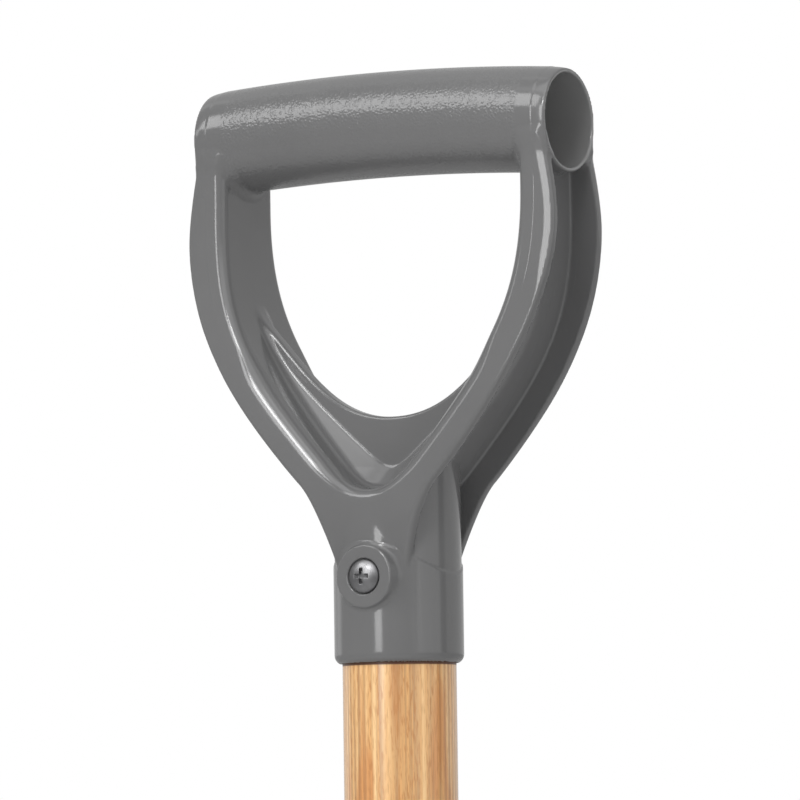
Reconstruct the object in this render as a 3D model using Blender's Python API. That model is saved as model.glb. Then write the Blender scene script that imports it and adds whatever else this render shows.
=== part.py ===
"""Scoop shovel with an ash handle and a moulded D-grip, hanging upright by its grip.

Metres, +Z up. The origin is the middle of the crossbar's underside, where a hook or a hand
carries the shovel. X runs along the crossbar and -Y is the front, where the scoop opens.
"""
import math

import bmesh
import bpy
from mathutils import Matrix, Vector

# Clearance between pieces that seat on each other
SEAT_GAP = 0.0003
TOE_GAP = 0.0007

# Ash shaft
SHAFT_RADIUS = 0.0175
SHAFT_LENGTH = 0.600
SHAFT_TOE = 0.042
SHAFT_END_CHAMFER = 0.002

# Grip socket, boss and screw; heights are above the socket's mouth
SOCKET_WALL = 0.0021
SOCKET_DEPTH = 0.048
SOCKET_EDGE = 0.0030
SOCKET_END_PLAY = 0.002
NECK_HEIGHT = 0.072
NECK_TOP_RADIUS = 0.0181
BOSS_HEIGHT = 0.0265
BOSS_BASE_RADIUS = 0.0095
BOSS_FACE_RADIUS = 0.0083
BOSS_RISE = 0.0012
COUNTERBORE_RADIUS = 0.0062
COUNTERBORE_DEPTH = 0.0010
SCREW_RADIUS = 0.0021
SCREW_LENGTH = 0.026
SCREW_POINT = 0.005
SCREW_HEAD_RADIUS = 0.0053
SCREW_HEAD_HEIGHT = 0.0026
RECESS_LENGTH = 0.0056
RECESS_WIDTH = 0.0012
RECESS_DEPTH = 0.0014

# Grip crossbar, a hollow tube that arches up in the middle
BAR_HEIGHT = 0.1665
BAR_RADIUS = 0.0163
BAR_WALL = 0.0017
BAR_LENGTH = 0.125
BAR_ARCH = 0.0027
BAR_END_LENGTH = 0.0048
BAR_END_DROP = 0.0014

# Grip arms, two channels that open outward
CROTCH_HEIGHT = 0.0532
INNER_HALF_WIDTH = 0.0536
OUTER_HALF_WIDTH = 0.0650
ARM_WALL = 0.0034
FLANGE_THICKNESS = 0.0035
FLANGE_ROUNDING = 0.0044
CREST_WIDTH = 0.0057
CREST_SETBACK = 0.00125
TAPER_START = 0.050
TAPER_BELOW_BAR = 0.0165
LEG_HEIGHT = 0.026
LEG_HALF_WIDTH = 0.0119
LEG_SINK = 0.22

# Curves of the grip's outlines: out from the middle, up from the crotch, down from the crossbar
CROTCH_FLAT = 0.0065
CROTCH_TURN = (0.0140, 0.0083)
CROTCH_PULL = (0.0040, 0.0042)
INNER_PULL = (0.0076, 0.0418)
INNER_UPRIGHT_DROP = 0.0252
INNER_UPRIGHT_PULL = 0.0318
LEG_PULL = (0.0021, 0.0107)
SHOULDER = (0.0246, 0.0028)
SHOULDER_PULL = (0.0057, 0.0052)
OUTER_PULL = (0.0208, 0.0206)
OUTER_UPRIGHT_DROP = 0.0337
OUTER_UPRIGHT_PULL = 0.0285
OUTER_TOP_PULL = 0.008
ARM_END_DROP = 0.004
ARM_END_PULL = (0.0020, 0.0080)
ARM_END_INSET = 0.0005

# Web in the crotch of the grip
WEB_THICKNESS = 0.0050
WEB_HEIGHT = 0.023
WEB_EDGE_RISE = 0.040
WEB_EDGE_FLAT = 0.027
WEB_EDGE_PULL = (0.020, 0.015)
WEB_FILLET = 0.0055

# Scoop blade, one pressed sheet
BLADE_SHEET = 0.0020
LIFT = math.radians(28)
FLOOR_LENGTH = 0.365
FLOOR_REAR_HALF_WIDTH = 0.122
FLOOR_FRONT_HALF_WIDTH = 0.160
FLOOR_CORNER = 0.060
NOSE_CURVE = 0.012
REAR_HEIGHT = 0.092
REAR_LEAN = math.radians(58)
REAR_FILLET = 0.055
SIDE_HEIGHT = 0.090
SIDE_LEAN = math.radians(72)
SIDE_FILLET = 0.038
MOUTH_HEIGHT = 0.010
MOUTH_FILLET = 0.012
SIDE_FALL = 0.85
RIM_ROLL = 0.0075
RIM_TURN = math.radians(105)
RIB_SPACING = 0.050
RIB_HALF_WIDTH = 0.0075
RIB_HEIGHT = 0.0035
RIB_START = 0.10
RIB_END = 0.72
RIB_RUN_OUT = 0.10

# Shank, a rolled steel sheet that opens out into a riveted plate
SHANK_SHEET = 0.0018
SHANK_TUBE_LENGTH = 0.125
SHANK_ROLL_LENGTH = 0.034
SHANK_BEND_RADIUS = 0.060
SHANK_SEAM = 0.002
SHANK_BELOW_RIM = 0.009
STRAP_REACH = 0.052
STRAP_HALF_WIDTH = 0.034
STRAP_CORNER = 0.012
STRAP_CORNER_SHARE = 0.4

# Rivets
RIVET_RADIUS = 0.0025
RIVET_HEAD_RADIUS = 0.0056
RIVET_HEAD_HEIGHT = 0.0022
RIVET_TAIL_RADIUS = 0.0045
RIVET_TAIL_HEIGHT = 0.0018
UPPER_RIVET_X = 0.040
UPPER_RIVET_UP = 0.048
LOWER_RIVET_X = 0.027
LOWER_RIVET_UP = 0.014
STRAP_RIVET_X = 0.020
STRAP_RIVET_FORWARD = 0.034
SHAFT_RIVET_RADIUS = 0.0030
SHAFT_RIVET_HEAD_RADIUS = 0.0062
SHAFT_RIVET_HEAD_HEIGHT = 0.0026
SHAFT_RIVET_FROM_TOP = 0.030

# Fineness of the curved surfaces
ROUND_SIDES = 28
SMALL_SIDES = 12
CURVE_STEPS = 8
ARC_STEPS = 5
RIM_STEPS = 3
BAR_STEPS = 4
FLOOR_ROWS = 12
SHARP_ANGLE = math.radians(35)

# Sizes and places that follow from the ones above
SOCKET_BORE_RADIUS = SHAFT_RADIUS + SEAT_GAP
SOCKET_RADIUS = SOCKET_BORE_RADIUS + SOCKET_WALL
MOUTH_Z = BAR_RADIUS - BAR_HEIGHT
SHAFT_TOP_Z = MOUTH_Z + SOCKET_DEPTH - SOCKET_END_PLAY
BEND_Z = SHAFT_TOP_Z - SHAFT_LENGTH
TAPER_END = BAR_HEIGHT - TAPER_BELOW_BAR
ARM_END_DEPTH = BAR_RADIUS - SEAT_GAP
BOSS_FACE_Y = -SOCKET_RADIUS - BOSS_RISE
SCREW_SEAT_Y = BOSS_FACE_Y + COUNTERBORE_DEPTH
SHANK_BORE_RADIUS = SHAFT_RADIUS + SEAT_GAP
SHANK_OFFSET = BLADE_SHEET + SEAT_GAP + SHANK_SHEET
SHANK_HALF_GIRTH = math.pi * SHANK_BORE_RADIUS - SHANK_SEAM / 2


def clear_scene():
    """Remove every object that the file opened with."""
    for item in list(bpy.data.objects):
        bpy.data.objects.remove(item, do_unlink=True)


def material(name, colour, roughness, metallic=0.0):
    """A plain finish of one colour."""
    made = bpy.data.materials.new(name)
    made.use_nodes = True
    shader = made.node_tree.nodes["Principled BSDF"]
    shader.inputs["Base Color"].default_value = (*colour, 1.0)
    shader.inputs["Roughness"].default_value = roughness
    shader.inputs["Metallic"].default_value = metallic
    return made


def add_object(name, shape, finish=None):
    """Put a bmesh into the scene as a named object, shaded smooth across its gentle edges."""
    mesh = bpy.data.meshes.new(name)
    shape.to_mesh(mesh)
    shape.free()
    mesh.shade_smooth()
    mesh.set_sharp_from_angle(angle=SHARP_ANGLE)
    made = bpy.data.objects.new(name, mesh)
    bpy.context.collection.objects.link(made)
    if finish:
        made.data.materials.append(finish)
    return made


def add_guide(name, shape):
    """A shape that only cuts or joins another one."""
    guide = add_object(name, shape)
    guide.hide_render = True
    guide.display_type = "WIRE"
    return guide


def combine(target, guide, operation):
    """Join a guide to the target, or cut it away."""
    step = target.modifiers.new(guide.name, "BOOLEAN")
    step.operation = operation
    step.object = guide
    step.solver = "EXACT"


def smooth_step(value):
    """Rise from 0 to 1 with level ends."""
    value = min(max(value, 0.0), 1.0)
    return value * value * (3 - 2 * value)


def cubic(start, pull_start, pull_end, end, steps):
    """Points of a cubic curve, without its last one."""
    points = []
    for step in range(steps):
        t = step / steps
        u = 1 - t
        weights = (u ** 3, 3 * u * u * t, 3 * u * t * t, t ** 3)
        corners = (start, pull_start, pull_end, end)
        points.append(tuple(sum(w * c[axis] for w, c in zip(weights, corners)) for axis in range(2)))
    return points


def mirrored(half):
    """A symmetric outline from its right half, which runs from the bottom middle upward."""
    left = [(-x, z) for x, z in reversed(half) if x > 0]
    return half + left


def offset_outline(outline, distance):
    """Move a closed anticlockwise outline outward by the distance."""
    moved = []
    for index, point in enumerate(outline):
        here = Vector(point)
        before = (here - Vector(outline[index - 1])).normalized()
        after = (Vector(outline[(index + 1) % len(outline)]) - here).normalized()
        normal_before = Vector((before.y, -before.x))
        normal_after = Vector((after.y, -after.x))
        mitre = normal_before + normal_after
        moved.append(here + mitre * (2 * distance / mitre.length_squared))
    return [tuple(point) for point in moved]


def arm_depth(height):
    """Share of the socket's radius that the arms are deep at a height above the mouth.

    The legs sink into the round neck below, and the arms thin towards the crossbar above.
    """
    sunk = min(max((TAPER_START - height) / (TAPER_START - LEG_HEIGHT), 0.0), 1.0)
    along = min(max((height - TAPER_START) / (TAPER_END - TAPER_START), 0.0), 1.0)
    return 1 - sunk * LEG_SINK + along * (ARM_END_DEPTH / SOCKET_RADIUS - 1)


def loft_through(layers, tapered=True):
    """A solid through outlines in X and height, given with their depths, front to back."""
    shape = bmesh.new()
    rings = []
    for outline, depth in layers:
        rings.append([shape.verts.new((x, depth, z)) for x, z in outline])
    count = len(rings[0])
    for near, far in zip(rings, rings[1:]):
        for index in range(count):
            after = (index + 1) % count
            shape.faces.new((near[index], near[after], far[after], far[index]))
    shape.faces.new(list(reversed(rings[0])))
    shape.faces.new(rings[-1])
    if tapered:
        for height in (TAPER_START, TAPER_END):
            everything = shape.verts[:] + shape.edges[:] + shape.faces[:]
            bmesh.ops.bisect_plane(shape, geom=everything, plane_co=(0, 0, height), plane_no=(0, 0, 1))
        for vertex in shape.verts:
            vertex.co.y *= arm_depth(vertex.co.z)
    bmesh.ops.translate(shape, verts=shape.verts, vec=(0, 0, MOUTH_Z))
    bmesh.ops.triangulate(shape, faces=shape.faces)
    bmesh.ops.recalc_face_normals(shape, faces=shape.faces)
    return shape


def turned(profile, sides, axis, place):
    """A solid turned from (radius, distance) pairs about an axis through a place."""
    shape = bmesh.new()
    points = [shape.verts.new((radius, 0, distance)) for radius, distance in profile]
    edges = [shape.edges.new(pair) for pair in zip(points, points[1:])]
    bmesh.ops.spin(shape, geom=points + edges, cent=(0, 0, 0), axis=(0, 0, 1),
                   angle=math.tau, steps=sides, use_merge=True)
    bmesh.ops.remove_doubles(shape, verts=shape.verts, dist=1e-6)
    turn = Vector(axis).to_track_quat("Z", "Y").to_matrix().to_4x4()
    bmesh.ops.transform(shape, verts=shape.verts, matrix=Matrix.Translation(place) @ turn)
    bmesh.ops.recalc_face_normals(shape, faces=shape.faces)
    return shape


def rod(radius, start, end, sides=ROUND_SIDES):
    """A plain round bar between two points."""
    axis = Vector(end) - Vector(start)
    profile = [(0, 0), (radius, 0), (radius, axis.length), (0, axis.length)]
    return turned(profile, sides, axis, start)


def inner_outline(top):
    """The D-shaped opening: a round crotch, then long curves up into upright sides."""
    turn = (CROTCH_TURN[0], CROTCH_HEIGHT + CROTCH_TURN[1])
    upright = (INNER_HALF_WIDTH, BAR_HEIGHT - INNER_UPRIGHT_DROP)
    half = cubic((0, CROTCH_HEIGHT), (CROTCH_FLAT, CROTCH_HEIGHT),
                 (turn[0] - CROTCH_PULL[0], turn[1] - CROTCH_PULL[1]), turn, CURVE_STEPS // 2)
    half += cubic(turn, (INNER_HALF_WIDTH - INNER_PULL[0], CROTCH_HEIGHT + INNER_PULL[1]),
                  (INNER_HALF_WIDTH, upright[1] - INNER_UPRIGHT_PULL), upright, 2 * CURVE_STEPS)
    half += [upright, (INNER_HALF_WIDTH, top)]
    return mirrored(half)


def outer_outline():
    """The outside of the arms, down to the two legs that straddle the boss."""
    shoulder = (SHOULDER[0], CROTCH_HEIGHT + SHOULDER[1])
    upright = (OUTER_HALF_WIDTH, BAR_HEIGHT - OUTER_UPRIGHT_DROP)
    top = (BAR_LENGTH / 2 - ARM_END_INSET, BAR_HEIGHT - BAR_ARCH - ARM_END_DROP)
    half = [(0, LEG_HEIGHT)]
    half += cubic((LEG_HALF_WIDTH, LEG_HEIGHT), (LEG_HALF_WIDTH + LEG_PULL[0], LEG_HEIGHT + LEG_PULL[1]),
                  (shoulder[0] - SHOULDER_PULL[0], shoulder[1] - SHOULDER_PULL[1]), shoulder, CURVE_STEPS)
    half += cubic(shoulder, (OUTER_HALF_WIDTH - OUTER_PULL[0], CROTCH_HEIGHT + OUTER_PULL[1]),
                  (OUTER_HALF_WIDTH, upright[1] - OUTER_UPRIGHT_PULL), upright, 2 * CURVE_STEPS)
    half += cubic(upright, (OUTER_HALF_WIDTH, upright[1] + OUTER_TOP_PULL),
                  (top[0] + ARM_END_PULL[0], top[1] - ARM_END_PULL[1]), top, CURVE_STEPS)
    half += [top, (top[0] - ARM_END_PULL[0], top[1] + ARM_END_DROP)]
    return mirrored(half)


def grip_arms():
    """Front to back block of both arms, its outer edges rounded in three facets."""
    outline = outer_outline()
    layers = []
    for angle in (90, 60, 30, 0):
        inset = FLANGE_ROUNDING * (1 - math.cos(math.radians(angle)))
        depth = SOCKET_RADIUS - FLANGE_ROUNDING * (1 - math.sin(math.radians(angle)))
        layers.append((offset_outline(outline, -inset) if inset else outline, depth))
    fronts = [(shape, -depth) for shape, depth in layers]
    return loft_through(fronts + list(reversed(layers)))


def channel_cutter(side):
    """The hollow between the two flanges of one arm, from the neck up to the crossbar."""
    inner = inner_outline(BAR_HEIGHT)
    wall = offset_outline(inner, ARM_WALL)
    wall = [(x, z) for x, z in wall if x > LEG_HALF_WIDTH - 0.002 and z < BAR_HEIGHT]
    far = 2 * OUTER_HALF_WIDTH
    outline = [(wall[0][0], 0.0), (far, 0.0), (far, BAR_HEIGHT + BAR_RADIUS)]
    outline += [(wall[-1][0], BAR_HEIGHT + BAR_RADIUS)] + list(reversed(wall))
    outline = [(side * x, z) for x, z in outline]
    depth = SOCKET_RADIUS - FLANGE_THICKNESS
    return loft_through([(outline, -depth), (outline, depth)])


def opening_cutter():
    """The D opening and both pockets beside the web, flared where the flanges are bevelled."""
    outline = inner_outline(BAR_HEIGHT + BAR_ARCH)
    edge = SOCKET_RADIUS - CREST_SETBACK
    beyond = SOCKET_RADIUS + CREST_SETBACK
    flare = offset_outline(outline, 2 * CREST_WIDTH)
    return loft_through([(flare, -beyond), (outline, -edge), (outline, edge), (flare, beyond)])


def web_plate():
    """The thin web, thickened by a fillet all along the arm walls."""
    outline = inner_outline(BAR_HEIGHT - BAR_RADIUS)
    layers = [(offset_outline(outline, 0.4 * ARM_WALL), WEB_THICKNESS / 2 + 1.5 * WEB_FILLET)]
    for angle in (0, 22, 45, 67, 90):
        inset = WEB_FILLET * (1 - math.cos(math.radians(angle)))
        depth = WEB_THICKNESS / 2 + WEB_FILLET * (1 - math.sin(math.radians(angle)))
        layers.append((offset_outline(outline, -inset) if inset else outline, depth))
    fronts = [(shape, -depth) for shape, depth in layers]
    return loft_through(list(reversed(fronts)) + layers, tapered=False)


def web_trim():
    """What lies above the web's curved top edge."""
    low = CROTCH_HEIGHT + WEB_HEIGHT
    end = (INNER_HALF_WIDTH + ARM_WALL, low + WEB_EDGE_RISE)
    half = cubic((0, low), (WEB_EDGE_FLAT, low),
                 (end[0] - WEB_EDGE_PULL[0], end[1] - WEB_EDGE_PULL[1]), end, 2 * CURVE_STEPS)
    half += [end, (2 * INNER_HALF_WIDTH, 2 * BAR_HEIGHT)]
    outline = mirrored(half)
    return loft_through([(outline, -2 * SOCKET_RADIUS), (outline, 2 * SOCKET_RADIUS)], tapered=False)


def bar_axis_height(x):
    """Height of the crossbar's arched axis above the mouth."""
    return BAR_HEIGHT - BAR_ARCH * (x / (BAR_LENGTH / 2)) ** 2


def crossbar(radius_at, stations):
    """A bar carried along the arched axis with a radius that follows its length."""
    shape = bmesh.new()
    rings = []
    for x in stations:
        radius = radius_at(x)
        height = MOUTH_Z + bar_axis_height(x)
        ring = []
        for side in range(ROUND_SIDES):
            angle = math.tau * side / ROUND_SIDES
            ring.append(shape.verts.new((x, -radius * math.cos(angle), height + radius * math.sin(angle))))
        rings.append(ring)
    for near, far in zip(rings, rings[1:]):
        for index in range(ROUND_SIDES):
            after = (index + 1) % ROUND_SIDES
            shape.faces.new((near[index], near[after], far[after], far[index]))
    shape.faces.new(rings[0])
    shape.faces.new(rings[-1])
    bmesh.ops.triangulate(shape, faces=shape.faces)
    bmesh.ops.recalc_face_normals(shape, faces=shape.faces)
    return shape


def bar_outer_radius(x):
    """The bar's radius, drawn in round its two ends."""
    over = max(abs(x) - (BAR_LENGTH / 2 - BAR_END_LENGTH), 0.0) / BAR_END_LENGTH
    return BAR_RADIUS - BAR_END_DROP * (1 - math.sqrt(max(1 - over * over, 0.0)))


def bar_stations(reach, ends):
    """Places along the bar, even in the middle and closer at the rounded ends."""
    straight = BAR_LENGTH / 2 - BAR_END_LENGTH
    inner = [straight * step / BAR_STEPS for step in range(-BAR_STEPS, BAR_STEPS + 1)]
    outer = [straight + BAR_END_LENGTH * math.sin(math.radians(angle)) for angle in ends]
    outer = [x for x in outer if x > straight] + ([reach] if reach > BAR_LENGTH / 2 else [])
    return [-x for x in reversed(outer)] + inner + outer


def make_grip(finish):
    """One moulding: socket, channel arms, web, boss and hollow crossbar."""
    grip = add_object("grip", grip_arms(), finish)
    for side, label in ((-1, "left"), (1, "right")):
        combine(grip, add_guide("channel_" + label, channel_cutter(side)), "DIFFERENCE")
    edge = [math.radians(angle) for angle in (0, 30, 60, 90)]
    profile = [(0, 0)]
    profile += [(SOCKET_RADIUS - SOCKET_EDGE * (1 - math.sin(a)), SOCKET_EDGE * (1 - math.cos(a))) for a in edge]
    profile += [(SOCKET_RADIUS, NECK_HEIGHT / 2), (NECK_TOP_RADIUS, NECK_HEIGHT), (0, NECK_HEIGHT)]
    neck = turned(profile, 2 * ROUND_SIDES, (0, 0, 1), (0, 0, MOUTH_Z))
    combine(grip, add_guide("neck", neck), "UNION")
    combine(grip, add_guide("opening", opening_cutter()), "DIFFERENCE")
    web = add_guide("web", web_plate())
    combine(web, add_guide("web_trim", web_trim()), "DIFFERENCE")
    combine(grip, web, "UNION")
    bar = crossbar(bar_outer_radius, bar_stations(0, (30, 60, 90)))
    combine(grip, add_guide("bar", bar), "UNION")
    bore_reach = BAR_LENGTH / 2 + BAR_WALL
    bore = crossbar(lambda x: BAR_RADIUS - BAR_WALL, bar_stations(bore_reach, (90,)))
    combine(grip, add_guide("bar_bore", bore), "DIFFERENCE")
    boss_z = MOUTH_Z + BOSS_HEIGHT
    boss_length = BOSS_RISE + SOCKET_WALL
    boss_profile = [(0, 0), (BOSS_BASE_RADIUS, 0), (BOSS_BASE_RADIUS, SOCKET_WALL),
                    (BOSS_FACE_RADIUS, boss_length), (0, boss_length)]
    boss = turned(boss_profile, ROUND_SIDES, (0, -1, 0), (0, -SOCKET_BORE_RADIUS, boss_z))
    combine(grip, add_guide("boss", boss), "UNION")
    below = MOUTH_Z - SOCKET_WALL
    bore = rod(SOCKET_BORE_RADIUS, (0, 0, below), (0, 0, MOUTH_Z + SOCKET_DEPTH), 2 * ROUND_SIDES)
    combine(grip, add_guide("shaft_bore", bore), "DIFFERENCE")
    clear = SCREW_RADIUS + SEAT_GAP
    hole_profile = [(0, 0), (clear, 0), (clear, -SCREW_SEAT_Y), (COUNTERBORE_RADIUS, -SCREW_SEAT_Y),
                    (COUNTERBORE_RADIUS, -2 * BOSS_FACE_Y), (0, -2 * BOSS_FACE_Y)]
    hole = turned(hole_profile, ROUND_SIDES, (0, -1, 0), (0, 0, boss_z))
    combine(grip, add_guide("grip_screw_hole", hole), "DIFFERENCE")
    return grip


def make_grip_screw(finish):
    """A pan-head wood screw with a cross recess, through the boss into the shaft."""
    seat = SCREW_SEAT_Y - SEAT_GAP
    head = [(math.radians(angle)) for angle in (0, 30, 60)]
    rise = SCREW_HEAD_HEIGHT / 2
    profile = [(0, -SCREW_LENGTH), (SCREW_RADIUS, SCREW_POINT - SCREW_LENGTH), (SCREW_RADIUS, 0),
               (SCREW_HEAD_RADIUS, 0)]
    profile += [(SCREW_HEAD_RADIUS * math.cos(a), rise + rise * math.sin(a)) for a in head]
    profile += [(0, SCREW_HEAD_HEIGHT)]
    place = (0, seat, MOUTH_Z + BOSS_HEIGHT)
    screw = add_object("grip_screw", turned(profile, 2 * SMALL_SIDES, (0, -1, 0), place), finish)
    recess = bmesh.new()
    bmesh.ops.create_cube(recess, size=1.0)
    cross = Matrix.Translation((0, seat - SCREW_HEAD_HEIGHT, MOUTH_Z + BOSS_HEIGHT))
    bar_size = Matrix.Diagonal((RECESS_LENGTH, 2 * RECESS_DEPTH, RECESS_WIDTH, 1))
    bmesh.ops.transform(recess, verts=recess.verts, matrix=cross @ bar_size)
    combine(screw, add_guide("recess_across", recess), "DIFFERENCE")
    upright = bmesh.new()
    bmesh.ops.create_cube(upright, size=1.0)
    bar_size = Matrix.Diagonal((RECESS_WIDTH, 2 * RECESS_DEPTH, RECESS_LENGTH, 1))
    bmesh.ops.transform(upright, verts=upright.verts, matrix=cross @ bar_size)
    combine(screw, add_guide("recess_upright", upright), "DIFFERENCE")
    return screw


class BladeFrame:
    """The scoop's own directions: across, forward over the floor, and up from the floor.

    Forward counts from the middle of the rear rim's foot towards the mouth. The frame is
    tilted by the lift and set where the shank's bore lies on the shaft.
    """

    def __init__(self):
        self.forward = Vector((0, -math.sin(LIFT), -math.cos(LIFT)))
        self.up = Vector((0, -math.cos(LIFT), math.sin(LIFT)))
        self.origin = Vector((0, 0, 0))

    def seat(self, point, target):
        """Shift the frame so that a (forward, up) point lands on a place of the model."""
        self.origin += Vector(target) - self.place(0, *point)

    def place(self, x, forward, up):
        """The model's point for a point of the scoop."""
        return self.origin + Vector((x, 0, 0)) + forward * self.forward + up * self.up


def wall_foot():
    """Where the rear wall's straight part starts, as (forward, up) from the floor's rear end."""
    return (-REAR_FILLET * math.sin(REAR_LEAN), REAR_FILLET * (1 - math.cos(REAR_LEAN)))


def wall_point(height_up, outward):
    """A point on the rear wall: so far up its slope, and so far out from its inner face."""
    foot = wall_foot()
    along = (-math.cos(REAR_LEAN), math.sin(REAR_LEAN))
    out = (-math.sin(REAR_LEAN), -math.cos(REAR_LEAN))
    return (foot[0] + height_up * along[0] + outward * out[0],
            foot[1] + height_up * along[1] + outward * out[1])


def wall_length():
    """Length of the rear wall's straight slope."""
    return (REAR_HEIGHT - wall_foot()[1]) / math.sin(REAR_LEAN)


def shank_spine():
    """The shank's middle line with its heading, from the strap's toe up to the tube's end.

    Each entry is (forward, up, heading, way), where way counts from the start of the bend.
    """
    spine = []
    low = -SHANK_OFFSET
    for step in range(3):
        spine.append((STRAP_REACH * (1 - step / 3), low, 0.0))
    heel = REAR_FILLET + SHANK_OFFSET
    for step in range(2 * ARC_STEPS):
        turn = REAR_LEAN * step / (2 * ARC_STEPS)
        spine.append((-heel * math.sin(turn), REAR_FILLET - heel * math.cos(turn), turn))
    rise = wall_length() - SHANK_BELOW_RIM
    for step in range(4):
        spine.append((*wall_point(rise * step / 4, SHANK_OFFSET), REAR_LEAN))
    bend = REAR_LEAN - LIFT
    start = wall_point(rise, SHANK_OFFSET)
    centre = (start[0] - SHANK_BEND_RADIUS * math.sin(REAR_LEAN),
              start[1] - SHANK_BEND_RADIUS * math.cos(REAR_LEAN))
    for step in range(ARC_STEPS + 1):
        heading = REAR_LEAN - bend * step / ARC_STEPS
        spine.append((centre[0] + SHANK_BEND_RADIUS * math.sin(heading),
                      centre[1] + SHANK_BEND_RADIUS * math.cos(heading), heading))
    top = spine[-1]
    roll = [SHANK_ROLL_LENGTH * step / ARC_STEPS for step in range(1, ARC_STEPS + 1)]
    for way in roll + [SHANK_TUBE_LENGTH / 2, SHANK_TUBE_LENGTH]:
        spine.append((top[0] - way * math.cos(LIFT), top[1] + way * math.sin(LIFT), LIFT))
    return spine, top


def way_from_bend(spine):
    """Distance of each spine point from where the sheet starts to roll up."""
    rise = wall_point(wall_length() - SHANK_BELOW_RIM, SHANK_OFFSET)
    ways = [0.0]
    for near, far in zip(spine, spine[1:]):
        ways.append(ways[-1] + math.hypot(far[0] - near[0], far[1] - near[1]))
    distances = [math.hypot(p[0] - rise[0], p[1] - rise[1]) for p in spine]
    start = ways[distances.index(min(distances))]
    return [way - start for way in ways], start


def make_shank(frame, finish):
    """A blank rolled round the shaft at its top and pressed flat against the scoop below."""
    spine, top = shank_spine()
    ways, start = way_from_bend(spine)
    bend_length = SHANK_BEND_RADIUS * (REAR_LEAN - LIFT)
    columns = 2 * CURVE_STEPS + 4
    shape = bmesh.new()
    inner = []
    outer = []
    for (forward, up, heading), way in zip(spine, ways):
        rolled = smooth_step(way / (bend_length + SHANK_ROLL_LENGTH))
        curl = max(rolled, 1e-4) / SHANK_BORE_RADIUS
        from_toe = (way + start) / start
        half_girth = STRAP_HALF_WIDTH + (SHANK_HALF_GIRTH - STRAP_HALF_WIDTH) * smooth_step(from_toe)
        half_girth -= STRAP_CORNER * max(1 - from_toe / STRAP_CORNER_SHARE, 0.0) ** 2
        inner_row = []
        outer_row = []
        for column in range(columns + 1):
            girth = half_girth * (2 * column / columns - 1)
            angle = curl * girth
            across = math.sin(angle) / curl
            deep = (1 - math.cos(angle)) / curl
            inner_row.append(point_on_sheet(frame, forward, up, heading, across, deep))
            across += SHANK_SHEET * math.sin(angle)
            deep -= SHANK_SHEET * math.cos(angle)
            outer_row.append(point_on_sheet(frame, forward, up, heading, across, deep))
        inner.append([shape.verts.new(point) for point in inner_row])
        outer.append([shape.verts.new(point) for point in outer_row])
    for row in range(len(spine) - 1):
        for column in range(columns):
            for sheet in (inner, outer):
                shape.faces.new((sheet[row][column], sheet[row][column + 1],
                                 sheet[row + 1][column + 1], sheet[row + 1][column]))
        for column in (0, columns):
            shape.faces.new((inner[row][column], inner[row + 1][column],
                             outer[row + 1][column], outer[row][column]))
    for row in (0, len(spine) - 1):
        for column in range(columns):
            shape.faces.new((inner[row][column], inner[row][column + 1],
                             outer[row][column + 1], outer[row][column]))
    bmesh.ops.triangulate(shape, faces=shape.faces)
    bmesh.ops.recalc_face_normals(shape, faces=shape.faces)
    return add_object("shank", shape, finish)


def point_on_sheet(frame, forward, up, heading, across, deep):
    """A point of the shank, so far across and so far out from the scoop at one spine point."""
    return frame.place(across, forward - deep * math.sin(heading), up - deep * math.cos(heading))


def seat_frame(frame):
    """Put the scoop where the shank's bore runs along the shaft's axis."""
    top = shank_spine()[1]
    frame.seat((top[0], top[1]), (0, -SHANK_BORE_RADIUS, BEND_Z))


def make_shaft(frame, finish):
    """A turned ash shaft, its lower end bevelled to lie on the shank's plate."""
    bottom = BEND_Z - SHAFT_TOE
    length = SHAFT_TOP_Z - bottom
    narrow = SHAFT_RADIUS - SHAFT_END_CHAMFER
    profile = [(0, 0), (narrow, 0), (SHAFT_RADIUS, SHAFT_END_CHAMFER),
               (SHAFT_RADIUS, length - SHAFT_END_CHAMFER), (narrow, length), (0, length)]
    shaft = add_object("shaft", turned(profile, 2 * ROUND_SIDES, (0, 0, 1), (0, 0, bottom)), finish)
    spine = shank_spine()[0]
    bend_end = len(spine) - ARC_STEPS - 2
    line = []
    for forward, up, heading in spine[bend_end - ARC_STEPS - 4:bend_end]:
        line.append(point_on_sheet(frame, forward, up, heading, 0, TOE_GAP))
    away = 3 * SHAFT_RADIUS
    line.append(Vector((0, -away, line[-1].z)))
    line.append(Vector((0, -away, line[0].z)))
    shape = bmesh.new()
    ends = []
    for x in (-away, away):
        ends.append([shape.verts.new((x, point.y, point.z)) for point in line])
    for index in range(len(line)):
        after = (index + 1) % len(line)
        shape.faces.new((ends[0][index], ends[0][after], ends[1][after], ends[1][index]))
    shape.faces.new(ends[0])
    shape.faces.new(ends[1])
    bmesh.ops.triangulate(shape, faces=shape.faces)
    bmesh.ops.recalc_face_normals(shape, faces=shape.faces)
    combine(shaft, add_guide("toe_bevel", shape), "DIFFERENCE")
    screw_z = MOUTH_Z + BOSS_HEIGHT
    deep = SCREW_SEAT_Y + SCREW_LENGTH + SEAT_GAP
    pilot = rod(SCREW_RADIUS + SEAT_GAP, (0, deep, screw_z), (0, 2 * SCREW_SEAT_Y, screw_z), SMALL_SIDES)
    combine(shaft, add_guide("pilot_hole", pilot), "DIFFERENCE")
    return shaft


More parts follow.
